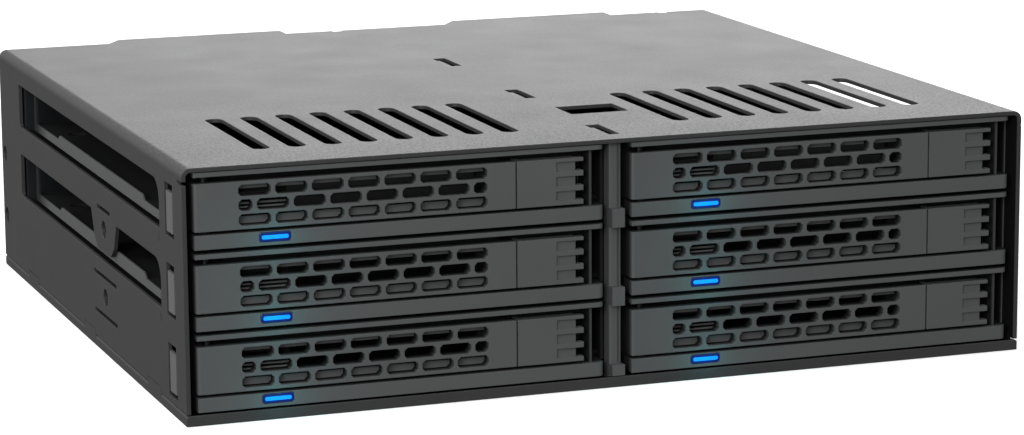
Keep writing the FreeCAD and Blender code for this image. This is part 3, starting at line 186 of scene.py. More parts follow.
class FinishShop:
    """Builds each finish's node material once and hands it out."""

    def __init__(self) -> None:
        """Start with no material built."""
        self._made: dict[str, bpy.types.Material] = {}

    def material(self, name: str) -> bpy.types.Material:
        """Give the material of a finish.

        Args:
            name: A key of FINISHES.

        Returns:
            The material, built on the first call.
        """
        if name not in self._made:
            self._made[name] = self._build(name, FINISHES[name])
        return self._made[name]

    @staticmethod
    def _ramp(tree: bpy.types.NodeTree, value: bpy.types.NodeSocket, start: float, end: float,
              first: float = 0.0, last: float = 1.0) -> bpy.types.NodeSocket:
        """Map one range of a value onto another, and hold it at both ends.

        Args:
            tree: The material's node tree.
            value: What is mapped.
            start: The value that gives first.
            end: The value that gives last.
            first: The result at start.
            last: The result at end.

        Returns:
            The mapped value.
        """
        ramp = tree.nodes.new("ShaderNodeMapRange")
        ramp.inputs["From Min"].default_value = start
        ramp.inputs["From Max"].default_value = end
        ramp.inputs["To Min"].default_value = first
        ramp.inputs["To Max"].default_value = last
        tree.links.new(value, ramp.inputs["Value"])
        return ramp.outputs["Result"]

    @staticmethod
    def _math(tree: bpy.types.NodeTree, operation: str,
              *values: bpy.types.NodeSocket | float) -> bpy.types.Node:
        """Add a node that works out one sum.

        Args:
            tree: The material's node tree.
            operation: The sum, by the node's own name for it.
            values: Its inputs in order, each a socket to link or a number to set.

        Returns:
            The new node.
        """
        node = tree.nodes.new("ShaderNodeMath")
        node.operation = operation
        for socket, value in zip(node.inputs, values):
            if isinstance(value, bpy.types.NodeSocket):
                tree.links.new(value, socket)
            else:
                socket.default_value = value
        return node

    def _build(self, name: str, finish: Finish) -> bpy.types.Material:
        """Build the nodes of one finish.

        Args:
            name: The material's name.
            finish: What the surface is like.

        Returns:
            The new material.
        """
        material = bpy.data.materials.new(name)
        material.use_nodes = True
        nodes = material.node_tree.nodes
        links = material.node_tree.links
        shader = nodes["Principled BSDF"]
        shader.inputs["Base Color"].default_value = (*finish.colour, 1.0)
        shader.inputs["Roughness"].default_value = finish.roughness
        shader.inputs["Metallic"].default_value = finish.metallic
        shader.inputs["Specular IOR Level"].default_value = finish.specular
        shader.inputs["Transmission Weight"].default_value = finish.transmission
        shader.inputs["Emission Color"].default_value = (*finish.glow_colour, 1.0)
        shader.inputs["Emission Strength"].default_value = finish.glow

        place = nodes.new("ShaderNodeTexCoord")
        cloud = nodes.new("ShaderNodeTexNoise")
        cloud.inputs["Scale"].default_value = 90.0
        cloud.inputs["Detail"].default_value = 5.0
        links.new(place.outputs["Object"], cloud.inputs["Vector"])
        tint = nodes.new("ShaderNodeMix")
        tint.data_type = "RGBA"
        low = tuple(part * (1.0 - finish.mottle) for part in finish.colour)
        high = tuple(min(1.0, part * (1.0 + finish.mottle)) for part in finish.colour)
        tint.inputs["A"].default_value = (*low, 1.0)
        tint.inputs["B"].default_value = (*high, 1.0)
        links.new(cloud.outputs["Fac"], tint.inputs["Factor"])
        links.new(tint.outputs["Result"], shader.inputs["Base Color"])

        worn = self._ramp(material.node_tree, cloud.outputs["Fac"], 0.0, 1.0,
                          finish.roughness * 0.9, min(1.0, finish.roughness * 1.1))
        links.new(worn, shader.inputs["Roughness"])

        rounded = nodes.new("ShaderNodeBevel")
        rounded.samples = 4
        rounded.inputs["Radius"].default_value = finish.edge * MM
        links.new(rounded.outputs["Normal"], shader.inputs["Normal"])
        if finish.speckle > 0.0:
            self._add_speckle(finish, material.node_tree, place, shader)
        if finish.depth_fade > 0.0:
            self._paint_tray_shade(finish, material.node_tree, place, shader)
        if finish.inside < 1.0:
            self._paint_shell_shade(finish, material.node_tree, place, shader)
        if finish.grain > 0.0:
            grain = nodes.new("ShaderNodeTexNoise")
            grain.inputs["Scale"].default_value = 1.0 / (finish.grain_size * MM)
            grain.inputs["Detail"].default_value = 2.0
            links.new(place.outputs["Object"], grain.inputs["Vector"])
            bump = nodes.new("ShaderNodeBump")
            bump.inputs["Strength"].default_value = 0.6
            bump.inputs["Distance"].default_value = finish.grain * MM
            links.new(grain.outputs["Fac"], bump.inputs["Height"])
            links.new(rounded.outputs["Normal"], bump.inputs["Normal"])
            links.new(bump.outputs["Normal"], shader.inputs["Normal"])
        return material

    def _paint_tray_shade(self, finish: Finish, tree: bpy.types.NodeTree, place: bpy.types.Node,
                        shader: bpy.types.Node) -> None:
        """Paint shade inside a tray: darken it behind its front and between its rails, and darken the rails
        towards their back ends.

        Args:
            finish: What the surface is like; depth_fade is the share of the colour left inside, as painted
                shade.
            tree: The material's node tree.
            place: The texture coordinate node.
            shader: The surface shader.
        """
        split = tree.nodes.new("ShaderNodeSeparateXYZ")
        tree.links.new(place.outputs["Object"], split.inputs["Vector"])
        # painted shade: behind the tray's front the colour falls to depth_fade
        depth = self._ramp(tree, split.outputs["Y"], (FRONT + 0.35) * MM, (FRONT + 1.6) * MM,
                           1.0, finish.depth_fade)
        side = self._math(tree, "ABSOLUTE", split.outputs["X"])
        rail = self._math(tree, "GREATER_THAN", side.outputs["Value"], RAIL_X * MM)
        # painted shade: the rails seen through the side windows keep their colour, except their back ends,
        # which fall to 0.3
        end = self._ramp(tree, split.outputs["Y"], (FRONT + 98.0) * MM, (FRONT + 107.0) * MM, 1.0, 0.3)
        outside = self._math(tree, "MULTIPLY", rail.outputs["Value"], end)
        share = self._math(tree, "MAXIMUM", depth, outside.outputs["Value"])
        self._paint_shade(tree, shader, share.outputs["Value"], finish.depth_fade)

    def _paint_shell_shade(self, finish: Finish, tree: bpy.types.NodeTree, place: bpy.types.Node,
                       shader: bpy.types.Node) -> None:
        """Paint shade on the inner faces of the cage's walls and top.

        Args:
            finish: What the surface is like; inside is the share of the colour left there, as painted shade.
            tree: The material's node tree.
            place: The texture coordinate node.
            shader: The surface shader.
        """
        split = tree.nodes.new("ShaderNodeSeparateXYZ")
        tree.links.new(place.outputs["Object"], split.inputs["Vector"])
        side = self._math(tree, "ABSOLUTE", split.outputs["X"])
        wall = self._ramp(tree, side.outputs["Value"], (WALL_X - 0.65) * MM, (WALL_X - 0.60) * MM)
        top = self._math(tree, "GREATER_THAN", split.outputs["Z"], (TOP_Z - 0.6) * MM)
        front = self._math(tree, "LESS_THAN", split.outputs["Y"], (FRONT + 0.25) * MM)
        faces = self._math(tree, "MAXIMUM", top.outputs["Value"], front.outputs["Value"])
        outside = self._math(tree, "MAXIMUM", faces.outputs["Value"], wall)
        # painted shade: faces inside the shell keep only the inside share of their colour
        share = self._ramp(tree, outside.outputs["Value"], 0.0, 1.0, finish.inside, 1.0)
        self._paint_shade(tree, shader, share, finish.inside)

    def _paint_shade(self, tree: bpy.types.NodeTree, shader: bpy.types.Node, share: bpy.types.NodeSocket,
             least: float) -> None:
        """Paint shade: scale a shader's colour, and take its sheen away where the share is least.

        Args:
            tree: The material's node tree.
            shader: The surface shader.
            share: What the colour is multiplied by.
            least: The lowest value that the share takes.
        """
        dim = tree.nodes.new("ShaderNodeMix")
        dim.data_type = "RGBA"
        dim.blend_type = "MULTIPLY"
        dim.inputs["Factor"].default_value = 1.0
        tree.links.new(shader.inputs["Base Color"].links[0].from_socket, dim.inputs["A"])
        tree.links.new(share, dim.inputs["B"])
        tree.links.new(dim.outputs["Result"], shader.inputs["Base Color"])
        # painted shade also removes the sheen: the IOR falls to 1.0 where the share is least
        tree.links.new(self._ramp(tree, share, least, 1.0, 1.0, 1.5), shader.inputs["IOR"])

    def _add_speckle(self, finish: Finish, tree: bpy.types.NodeTree, place: bpy.types.Node,
                     shader: bpy.types.Node) -> None:
        """Make the sheen uneven in fine dots, plainest near the front.

        Args:
            finish: What the surface is like.
            tree: The material's node tree.
            place: The texture coordinate node.
            shader: The surface shader.
        """
        dots = tree.nodes.new("ShaderNodeTexNoise")
        dots.inputs["Scale"].default_value = 0.8 / (finish.grain_size * MM)
        dots.inputs["Detail"].default_value = 1.0
        tree.links.new(place.outputs["Object"], dots.inputs["Vector"])
        split = tree.nodes.new("ShaderNodeSeparateXYZ")
        tree.links.new(place.outputs["Object"], split.inputs["Vector"])
        widest = finish.specular * finish.speckle
        near = self._ramp(tree, split.outputs["Y"], FRONT * MM, (FRONT + 70.0) * MM, widest, widest * 0.2)
        swing = self._ramp(tree, dots.outputs["Fac"], 0.35, 0.65, -1.0, 1.0)
        facing = tree.nodes.new("ShaderNodeNewGeometry")
        upright = tree.nodes.new("ShaderNodeSeparateXYZ")
        tree.links.new(facing.outputs["True Normal"], upright.inputs["Vector"])
        upward = self._math(tree, "MULTIPLY", upright.outputs["Z"], near)
        upward.use_clamp = True
        sheen = self._math(tree, "MULTIPLY_ADD", swing, upward.outputs["Value"], finish.specular)
        tree.links.new(sheen.outputs["Value"], shader.inputs["Specular IOR Level"])


SHOP = FinishShop()


def finish_piece(piece: bpy.types.Object, name: str, finish: str, body: str) -> bpy.types.Object:
    """Name a finished piece, paint it and tie it to its body.

    Args:
        piece: The mesh, already in place with its transform applied.
        name: The piece's name.
        finish: A key of FINISHES.
        body: The CAD body that it moves with.

    Returns:
        The same piece.
    """
    piece.name = name
    piece.data.name = name
    piece.data.materials.clear()
    piece.data.materials.append(SHOP.material(finish))
    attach(piece, body)
    return piece


def select_only(pieces: Sequence[bpy.types.Object]) -> None:
    """Select these objects and nothing else, with the first one active.

    Args:
        pieces: What to select.
    """
    bpy.ops.object.select_all(action="DESELECT")
    for piece in pieces:
        piece.select_set(True)
    bpy.context.view_layer.objects.active = pieces[0]


def apply_transform(piece: bpy.types.Object) -> None:
    """Bring a piece's turn and place into its mesh.

    Args:
        piece: The object whose transform is cleared.
    """
    select_only([piece])
    bpy.ops.object.transform_apply(location=True, rotation=True, scale=True)


def add_box(low: Vector, high: Vector, bevel: float = 0.0) -> bpy.types.Object:
    """Add a box between two corners.

    Args:
        low: The lowest corner, in metres.
        high: The highest corner, in metres.
        bevel: The rounding of its edges in millimetres.

    Returns:
        The new mesh, with its transform applied.
    """
    bpy.ops.mesh.primitive_cube_add(size=1.0, location=(low + high) / 2)
    piece = bpy.context.object
    piece.scale = high - low
    apply_transform(piece)
    if bevel > 0.0:
        modifier = piece.modifiers.new("rounding", "BEVEL")
        modifier.width = bevel * MM
        modifier.segments = 3
        bpy.ops.object.modifier_apply(modifier=modifier.name)
    return piece


def cage_point(x: float, y: float, z: float) -> Vector:
    """Turn a place in the cage into metres.

    Args:
        x: Millimetres to the right of the cage's middle.
        y: Millimetres behind its front plane.
        z: Millimetres above the floor.

    Returns:
        The same place in metres.
    """
    return Vector((x, FRONT + y, z)) * MM


def dome_edges(piece: bpy.types.Object, name: str, width: float, segments: int) -> None:
    """Round the sharp edges of a mesh.

    Args:
        piece: The active object.
        name: What the modifier is called until it is applied.
        width: The rounding in millimetres.
        segments: How many faces it is made of.
    """
    modifier = piece.modifiers.new(name, "BEVEL")
    modifier.width = width * MM
    modifier.segments = segments
    modifier.limit_method = "ANGLE"
    bpy.ops.object.modifier_apply(modifier=modifier.name)


def add_plate(low: Vector, high: Vector, corner: float, edge: float = 0.0) -> bpy.types.Object:
    """Add a plate that faces the front, with the four corners of its outline rounded.

    Args:
        low: The lowest corner, in metres.
        high: The highest corner, in metres.
        corner: The radius of the outline's corners in millimetres.
        edge: The rounding of the edges round its faces in millimetres.

    Returns:
        The new mesh, with its transform applied.
    """
    piece = add_box(low, high)
    bpy.ops.object.mode_set(mode="EDIT")
    bpy.ops.mesh.select_mode(type="EDGE")
    bpy.ops.mesh.select_all(action="DESELECT")
    bpy.ops.object.mode_set(mode="OBJECT")
    for line in piece.data.edges:
        ends = [piece.data.vertices[index].co for index in line.vertices]
        line.select = abs(ends[0].y - ends[1].y) > 1e-6
    bpy.ops.object.mode_set(mode="EDIT")
    bpy.ops.mesh.bevel(offset=corner * MM, segments=8, affect="EDGES")
    bpy.ops.object.mode_set(mode="OBJECT")
    if edge > 0.0:
        dome_edges(piece, "rounding", edge, 2)
    return piece


def cut_away(piece: bpy.types.Object, tool: bpy.types.Object) -> bpy.types.Object:
    """Cut one mesh out of another.

    Args:
        piece: What is cut.
        tool: What is taken away; it is deleted.

    Returns:
        The cut piece.
    """
    select_only([piece])
    modifier = piece.modifiers.new("cut", "BOOLEAN")
    modifier.operation = "DIFFERENCE"
    modifier.object = tool
    bpy.ops.object.modifier_apply(modifier=modifier.name)
    bpy.data.objects.remove(tool)
    return piece


def add_disc(centre: Vector, radius: float, length: float, axis: str, sides: int = 40) -> bpy.types.Object:
    """Add a cylinder along Y or Z.

    Args:
        centre: Its middle, in metres.
        radius: Its radius in millimetres.
        length: Its length in millimetres.
        axis: "Y" or "Z".
        sides: How many sides its circle has.

    Returns:
        The new mesh, with its transform applied.
    """
    turn = (math.pi / 2, 0.0, 0.0) if axis == "Y" else (0.0, 0.0, 0.0)
    bpy.ops.mesh.primitive_cylinder_add(vertices=sides, radius=radius * MM, depth=length * MM,
                                        location=centre, rotation=turn)
    piece = bpy.context.object
    apply_transform(piece)
    return piece


def join(pieces: Sequence[bpy.types.Object]) -> bpy.types.Object:
    """Join meshes into one.

    Args:
        pieces: The meshes; the first one's name is kept.

    Returns:
        The joined mesh.
    """
    select_only(pieces)
    if len(pieces) > 1:
        bpy.ops.object.join()
    return bpy.context.object


@dataclass
class CagePaint:
    """Puts a node material on every CAD node."""

    tray_prefixes: tuple[str, ...] = ("carrier_", "handle_left", "handle_right")

    def build(self) -> int:
        """Paint the nodes from the record's material slots.

        Returns:
            How many nodes were painted.
        """
        slots = {part["node"]: part["material_slot"] for part in frame["record"]["subparts"]}
        for name, node in frame["nodes"].items():
            # trays and handles get the front plastic with painted shade inside the trays
            finish = "tray_plastic" if name.startswith(self.tray_prefixes) else slots[name]
            node.data.materials.clear()
            node.data.materials.append(SHOP.material(finish))
        return len(slots)


@dataclass
class StatusLenses:
    """The bright bar and dark blue rim that show on each lit lens."""

    left: float = -23.85
    right: float = -18.7
    low: float = 0.55
    high: float = 2.1
    rim_side: float = 0.38
    rim_above: float = 0.46
    play: float = 0.02
    rim_depth: tuple[float, float] = (0.10, 0.22)
    light_depth: tuple[float, float] = (0.04, 0.16)

    def build(self) -> list[bpy.types.Object]:
        """Lay a rim and a light bar on every lens.

        Returns:
            The new pieces.
        """
        made = []
        for bay in all_bays():
            made.append(self._rim(bay))
            made.append(self._light(bay))
        return made

    def _rim(self, bay: Bay) -> bpy.types.Object:
        """Add the dark blue surround of one lens.

        Args:
            bay: The tray that it is on.

        Returns:
            The new piece.
        """
        front, back = self.rim_depth
        piece = add_plate(bay.point(self.left + self.play, front, self.low + self.play),
                          bay.point(self.right - self.play, back, self.high - self.play), 0.5, 0.05)
        return finish_piece(piece, f"lens_rim_{bay.name}", "lens_rim", bay.body)

    def _light(self, bay: Bay) -> bpy.types.Object:
        """Add the bright bar inside one rim.

        Args:
            bay: The tray that it is on.

        Returns:
            The new piece.
        """
        front, back = self.light_depth
        piece = add_plate(bay.point(self.left + self.rim_side, front, self.low + self.rim_above),
                          bay.point(self.right - self.rim_side, back, self.high - self.rim_above),
                          0.28, 0.03)
        return finish_piece(piece, f"lens_light_{bay.name}", "lens_light", bay.body)


@dataclass
class CatchPads:
    """The bumpers set into the front windows of the cage's side walls, in a paler copy of the front plastic
    whose extra lightness is painted light.
    """

    front: float = 6.5
    back: float = 10.2
    neck_back: float = 10.7
    low: float = 1.55
    high: float = 8.15
    inner: float = 72.36
    recess: float = 72.5
    outer: float = 72.9

    def build(self) -> list[bpy.types.Object]:
        """Set a bumper in every front window, held at the window's back edge.

        Returns:
            The new pieces.
        """
        made = []
        for bay in all_bays():
            face = self._block(bay, self.front, self.back, self.outer)
            neck = self._block(bay, self.back, self.neck_back, self.recess)
            made.append(finish_piece(join([face, neck]), f"catch_pad_{bay.name}", "pad_pale_with_painted_light", "cage"))
        return made

    def _block(self, bay: Bay, front: float, back: float, outer: float) -> bpy.types.Object:
        """Add one block that stands in a window.

        Args:
            bay: The row and side of the window.
            front: Its front edge behind the front plane in millimetres.
            back: Its back edge in millimetres.
            outer: How far its outer face is from the cage's middle in millimetres.

        Returns:
            The new mesh.
        """
        near, far = sorted((self.inner * bay.column.value, outer * bay.column.value))
        base = ROW_BASE + ROW_PITCH * bay.row.value
        return add_box(cage_point(near, front, base + self.low), cage_point(far, back, base + self.high))


@dataclass
class SlotPlates:
    """The ribs and fins across the back of each handle that show through its slots."""

    left: float = -27.3
    right: float = 15.9
    fins_right: float = -18.5
    front: float = 2.42
    back: float = 2.66
    ribs: tuple[tuple[float, float], ...] = ((3.0, 4.5), (8.95, 10.1))
    fins: tuple[tuple[float, float], ...] = ((5.82, 6.08), (6.45, 6.73))

    def build(self) -> list[bpy.types.Object]:
        """Lay ribs behind the outer rows of slots and fins behind the left end of the middle row.

        Returns:
            The new pieces.
        """
        made = []
        for bay in all_bays():
            bars = [self._bar(bay, self.right, low, high) for low, high in self.ribs]
            bars += [self._bar(bay, self.fins_right, low, high) for low, high in self.fins]
            made.append(finish_piece(join(bars), f"slot_plates_{bay.name}", "slot_plate",
                                     f"handle_{bay.name}"))
        return made

    def _bar(self, bay: Bay, right: float, low: float, high: float) -> bpy.types.Object:
        """Add one bar across the handle's back.

        Args:
            bay: The tray that the handle is on.
            right: Where the bar ends in millimetres from the tray's middle.
            low: Its lower edge above the tray's lowest edge in millimetres.
            high: Its upper edge in millimetres.

        Returns:
            The new mesh.
        """
        return add_box(bay.point(self.left, self.front, low), bay.point(right, self.back, high))


@dataclass
class SheetLaps:
    """The pan's flanges inside the side walls and the sheet behind the right relief cut."""

    inner: float = 71.95
    outer: float = 72.27
    front: float = 1.0
    back: float = 115.5
    floor: float = 0.8
    top: float = 2.6
    relief: tuple[float, float] = (38.58, 39.22)
    relief_depth: float = 2.62

    def build(self) -> list[bpy.types.Object]:
        """Stand a flange along each side and close the relief cut on the right.

        Returns:
            The new pieces.
        """
        made = []
        for name, side in (("left", -1), ("right", 1)):
            near, far = sorted((self.inner * side, self.outer * side))
            flange = add_box(cage_point(near, self.front, self.floor), cage_point(far, self.back, self.top))
            made.append(finish_piece(flange, f"pan_flange_{name}", "shell_paint", "cage"))
        low, high = self.relief
        patch = add_box(cage_point(self.outer + 0.05, 0.02, low),
                        cage_point(WALL_X - 0.02, self.relief_depth, high))
        made.append(finish_piece(patch, "relief_patch_right", "shell_paint", "cage"))
        return made


@dataclass
class FanScrews:
    """The pan-headed screws with crossed recesses that hold the fans."""

    spread: float = 14.5
    head_radius: float = 2.5
    head_height: float = 1.36
    head_middle: float = 145.68
    dome: float = 0.5
    recess_front: float = 145.6
    recess_back: float = 147.0
    recess: tuple[float, float] = (1.45, 0.28)
    shank_radius: float = 1.4
    shank_length: float = 11.0
    shank_middle: float = 139.7

    def build(self) -> list[bpy.types.Object]:
        """Make all eight screws as one piece in place of the CAD node.

        Returns:
            The new piece, alone in a list.
        """
        screws = []
        for side in (-1, 1):
            for across in (-1, 1):
                for up in (-1, 1):
                    screws += self._screw(FAN_X * side + self.spread * across, FAN_Z + self.spread * up)
        piece = finish_piece(join(screws), "fan_screw_heads", "screw_steel", "cage")
        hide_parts("fan_screws")
        return [piece]

    def _screw(self, x: float, z: float) -> list[bpy.types.Object]:
        """Make one screw's head and shank.

        Args:
            x: The screw's place across the cage in millimetres.
            z: Its height in millimetres.

        Returns:
            The head and the shank.
        """
        head = add_disc(cage_point(x, self.head_middle, z), self.head_radius, self.head_height, "Y", 36)
        dome_edges(head, "dome", self.dome, 4)
        for wide, tall in (self.recess, self.recess[::-1]):
            slot = add_box(cage_point(x - wide, self.recess_front, z - tall),
                           cage_point(x + wide, self.recess_back, z + tall))
            head = cut_away(head, slot)
        shank = add_disc(cage_point(x, self.shank_middle, z), self.shank_radius, self.shank_length, "Y", 24)
        return [head, shank]


@dataclass
class FanDetail:
    """The plain label on each fan."""

    label_radius: float = 6.9
    label_middle: float = 145.06
    label_gauge: float = 0.14

    def build(self) -> list[bpy.types.Object]:
        """Lay a plain disc on the back of each motor seat.

        Returns:
            The new pieces.
        """
        made = []
        for name, side in (("left", -1), ("right", 1)):
            disc = add_disc(cage_point(FAN_X * side, self.label_middle, FAN_Z),
                            self.label_radius, self.label_gauge, "Y", 64)
            made.append(finish_piece(disc, f"fan_label_{name}", "label_silver", "cage"))
        return made


@dataclass
class PortContacts:
    """The gold contacts on the tongues of the rear headers."""

    level: float = 20.65
    data_rise: float = 9.4
    data_across: float = 8.4
    supply_across: float = 62.0
    inner: float = 0.58
    outer: float = 0.68
    half_width: float = 0.35
    start: float = 0.4
    end: float = 7.2

    def build(self) -> list[bpy.types.Object]:
        """Make the contacts of the data headers and of the supply headers.

        Returns:
            The two new pieces.
        """
        data = []
        for rise in (-self.data_rise, self.data_rise):
            for across in (-self.data_across, 0.0, self.data_across):
                data += self._row(across, self.level + rise, 7)
        supply = self._row(-self.supply_across, self.level, 15)
        supply += self._row(self.supply_across, self.level, 15)
        return [finish_piece(join(data), "data_contacts", "contact_gold", "cage"),
                finish_piece(join(supply), "supply_contacts", "contact_gold", "cage")]

    def _row(self, x: float, z: float, count: int) -> list[bpy.types.Object]:
        """Lay contacts on both faces of one tongue.

        Args:
            x: The tongue's middle across the cage in millimetres.
            z: The tongue's middle height in millimetres.
            count: How many contacts there are on a face.

        Returns:
            The contacts.
        """
        contacts = []
        for number in range(count):
            middle = z + CONTACT_PITCH * (number - (count - 1) / 2)
            for side in (-1, 1):
                near, far = sorted((x + self.inner * side, x + self.outer * side))
                low = cage_point(near, BOARD_BACK + self.start, middle - self.half_width)
                high = cage_point(far, BOARD_BACK + self.end, middle + self.half_width)
                contacts.append(add_box(low, high))
        return contacts


@dataclass
class SocketContacts:
    """The gold contacts inside the drive sockets."""

    signal_middle: float = -21.45
    supply_middle: float = -3.6
    half_width: float = 0.35
    front: float = 110.2
    back: float = 114.5
    low: float = 5.60
    high: float = 5.78

    def build(self) -> list[bpy.types.Object]:
        """Make each socket's two rows.

        Returns:
            One new piece for each bay.
        """
        made = []
        for bay in all_bays():
            contacts = self._row(bay, self.signal_middle, 7) + self._row(bay, self.supply_middle, 15)
            made.append(finish_piece(join(contacts), f"socket_contacts_{bay.name}", "contact_gold", "cage"))
        return made

    def _row(self, bay: Bay, middle: float, count: int) -> list[bpy.types.Object]:
        """Lay one row along the floor of a socket's slot.

        Args:
            bay: The socket's place.
            middle: The row's middle across the tray in millimetres.
            count: How many contacts there are.

        Returns:
            The contacts.
        """
        contacts = []
        for number in range(count):
            x = middle + CONTACT_PITCH * (number - (count - 1) / 2)
            contacts.append(add_box(bay.point(x - self.half_width, self.front, self.low),
                                    bay.point(x + self.half_width, self.back, self.high)))
        return contacts


@dataclass
class BoardDetail:
    """The chips, cans and small parts on the back of the board."""

    chips: tuple[tuple[float, float, float], ...] = ((-19.5, 31.0, 7.0), (19.5, 31.0, 7.0), (19.5, 9.0, 5.0))
    chip_height: float = 0.9
    can_x: float = 52.0
    can_levels: tuple[float, ...] = (12.0, 18.0, 24.0)
    can_radius: float = 2.4
    can_height: float = 5.4
    resistor_x: float = 42.0
    resistor_base: float = 8.0
    resistor_pitch: float = 3.3
    resistor_half: tuple[float, float] = (0.8, 0.4)
    resistor_height: float = 0.5

    def build(self) -> list[bpy.types.Object]:
        """Fit the parts in their groups.

        Returns:
            The new pieces.
        """
        return [self._chips(), self._cans(), self._small_parts()]

    def _chips(self) -> bpy.types.Object:
        """Fit two flat square chips and a small one.

        Returns:
            The chips as one piece.
        """
        chips = []
        for x, z, side in self.chips:
            chips.append(add_box(cage_point(x - side / 2, BOARD_BACK, z - side / 2),
                                 cage_point(x + side / 2, BOARD_BACK + self.chip_height, z + side / 2), 0.08))
        return finish_piece(join(chips), "board_chips", "chip_black", "cage")

    def _cans(self) -> bpy.types.Object:
        """Fit the capacitors beside each supply header.

        Returns:
            The capacitors as one piece.
        """
        cans = []
        for side in (-1, 1):
            for z in self.can_levels:
                middle = cage_point(self.can_x * side, BOARD_BACK + self.can_height / 2, z)
                can = add_disc(middle, self.can_radius, self.can_height, "Y", 40)
                dome_edges(can, "crimp", 0.3, 3)
                cans.append(can)
        return finish_piece(join(cans), "board_capacitors", "capacitor_can", "cage")

    def _small_parts(self) -> bpy.types.Object:
        """Fit a column of chip resistors on each side of the board.

        Returns:
            The resistors as one piece.
        """
        parts = []
        wide, tall = self.resistor_half
        for side in (-1, 1):
            for number in range(8):
                x = self.resistor_x * side
                z = self.resistor_base + self.resistor_pitch * number
                parts.append(add_box(cage_point(x - wide, BOARD_BACK, z - tall),
                                     cage_point(x + wide, BOARD_BACK + self.resistor_height, z + tall), 0.06))
        return finish_piece(join(parts), "board_resistors", "solder_tin", "cage")


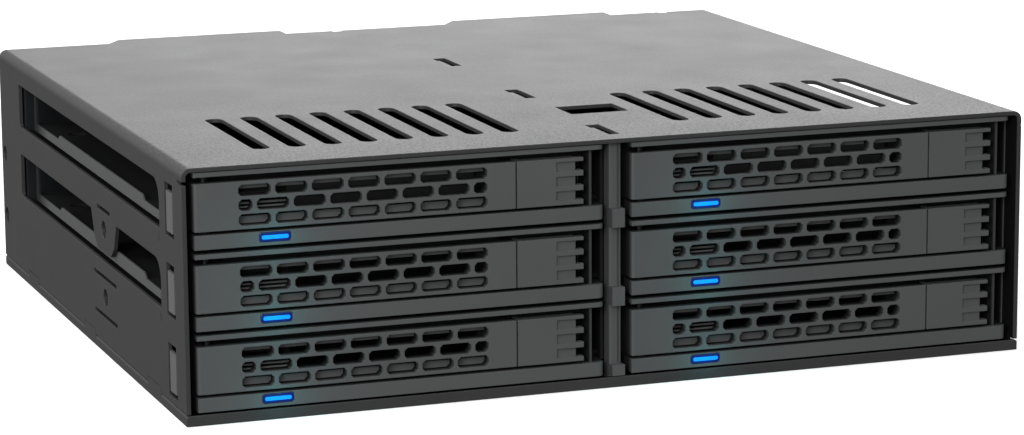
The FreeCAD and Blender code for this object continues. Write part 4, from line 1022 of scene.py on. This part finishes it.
@dataclass
class Studio:
    """The floor, the lights, the background and the camera."""

    camera_place: tuple[float, float, float] = (-0.21157, -0.60921, 0.14198)
    camera_turn: tuple[float, float, float] = (78.8468, 0.3887, -19.8912)
    focal_length: float = 126.979

    def build(self) -> None:
        """Set up everything round the object."""
        self._world()
        self._floor()
        self._lights()
        self._camera()
        bpy.context.scene.view_settings.view_transform = "Standard"

    def _world(self) -> None:
        """Make the background white to the camera and softly graded to the object."""
        world = bpy.data.worlds.new("studio")
        bpy.context.scene.world = world
        world.use_nodes = True
        nodes = world.node_tree.nodes
        links = world.node_tree.links
        nodes.clear()
        out = nodes.new("ShaderNodeOutputWorld")
        place = nodes.new("ShaderNodeTexCoord")
        split = nodes.new("ShaderNodeSeparateXYZ")
        links.new(place.outputs["Generated"], split.inputs["Vector"])
        grade = nodes.new("ShaderNodeValToRGB")
        grade.color_ramp.elements[0].position = 0.45
        grade.color_ramp.elements[0].color = (0.16, 0.16, 0.16, 1.0)
        grade.color_ramp.elements[1].position = 0.75
        grade.color_ramp.elements[1].color = (0.75, 0.75, 0.76, 1.0)
        lift = nodes.new("ShaderNodeMapRange")
        lift.inputs["From Min"].default_value = -1.0
        lift.inputs["From Max"].default_value = 1.0
        links.new(split.outputs["Z"], lift.inputs["Value"])
        links.new(lift.outputs["Result"], grade.inputs["Fac"])
        soft = nodes.new("ShaderNodeBackground")
        links.new(grade.outputs["Color"], soft.inputs["Color"])
        white = nodes.new("ShaderNodeBackground")
        white.inputs["Color"].default_value = (1.0, 1.0, 1.0, 1.0)
        white.inputs["Strength"].default_value = 1.0
        seen = nodes.new("ShaderNodeLightPath")
        mix = nodes.new("ShaderNodeMixShader")
        links.new(seen.outputs["Is Camera Ray"], mix.inputs["Fac"])
        links.new(soft.outputs["Background"], mix.inputs[1])
        links.new(white.outputs["Background"], mix.inputs[2])
        links.new(mix.outputs["Shader"], out.inputs["Surface"])

    def _floor(self) -> None:
        """Lay the plain pale floor that the cage stands on."""
        bpy.ops.mesh.primitive_plane_add(size=8.0, location=(0.0, 0.0, -0.0001))
        floor = bpy.context.object
        floor.name = "studio_floor"
        material = bpy.data.materials.new("studio_floor")
        material.use_nodes = True
        shader = material.node_tree.nodes["Principled BSDF"]
        shader.inputs["Base Color"].default_value = (0.92, 0.92, 0.92, 1.0)
        shader.inputs["Roughness"].default_value = 0.9
        shader.inputs["Specular IOR Level"].default_value = 0.1
        shader.inputs["Emission Color"].default_value = (1.0, 1.0, 1.0, 1.0)
        shader.inputs["Emission Strength"].default_value = 0.35
        floor.data.materials.append(material)
        floor.visible_glossy = False
        floor.visible_diffuse = False

    def _lights(self) -> None:
        """Hang the soft boxes."""
        self._soft_box("back_card", (1.15, 1.6, 0.26), (0.0, 0.0, 0.02), 2.0, 0.55, 10.5)
        self._soft_box("left_card", (-1.4, 0.6, 0.5), (0.0, 0.0, 0.02), 1.2, 1.0, 12.0)
        self._soft_box("top_box", (0.0, -0.1, 1.6), (0.0, 0.0, 0.0), 1.6, 1.6, 9.0)
        self._soft_box("front_box", (-0.36, -0.60, 0.24), (0.0, -0.07, 0.02), 0.3, 0.3, 2.9)
        self._lens_glows()

    def _lens_glows(self) -> None:
        """Put a faint blue light in front of every lens, so that it tints what is round it."""
        for bay in all_bays():
            data = bpy.data.lights.new(f"lens_glow_{bay.name}", "POINT")
            data.energy = 0.0008
            data.color = (0.03, 0.90, 1.0)
            data.shadow_soft_size = 1.5 * MM
            light = bpy.data.objects.new(f"lens_glow_{bay.name}", data)
            light.location = bay.point(-21.3, -4.0, 1.3)
            light.visible_camera = False
            light.visible_glossy = False
            bpy.context.collection.objects.link(light)

    def _soft_box(self, name: str, place: Iterable[float], target: Iterable[float],
                  width: float, height: float, power: float) -> None:
        """Add one rectangular area light.

        Args:
            name: The light's name.
            place: Where it hangs, in metres.
            target: The point that it faces.
            width: Its width in metres.
            height: Its height in metres.
            power: Its power in watts.
        """
        data = bpy.data.lights.new(name, "AREA")
        data.shape = "RECTANGLE"
        data.size = width
        data.size_y = height
        data.energy = power
        light = bpy.data.objects.new(name, data)
        light.location = place
        light.rotation_euler = (Vector(target) - Vector(place)).to_track_quat("-Z", "Y").to_euler()
        light.visible_camera = False
        bpy.context.collection.objects.link(light)

    def _camera(self) -> None:
        """Set the camera where the photo was taken from."""
        data = bpy.data.cameras.new("photo_camera")
        data.lens = self.focal_length
        data.sensor_width = 36.0
        data.sensor_fit = "HORIZONTAL"
        data.clip_start = 0.01
        camera = bpy.data.objects.new("photo_camera", data)
        camera.location = self.camera_place
        camera.rotation_euler = tuple(math.radians(angle) for angle in self.camera_turn)
        bpy.context.collection.objects.link(camera)
        bpy.context.scene.camera = camera


def main() -> None:
    """Build every class in order and say what each one made."""
    logging.basicConfig(level=logging.INFO, format="%(name)s: %(message)s")
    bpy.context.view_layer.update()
    log.info("painted %d nodes", CagePaint().build())
    makers = (StatusLenses(), CatchPads(), SlotPlates(), SheetLaps(), FanScrews(), FanDetail(),
              PortContacts(), SocketContacts(), BoardDetail())
    for maker in makers:
        for piece in maker.build():
            log.info("%s made %s", type(maker).__name__, piece.name)
    Studio().build()


if __name__ == "__main__":
    main()
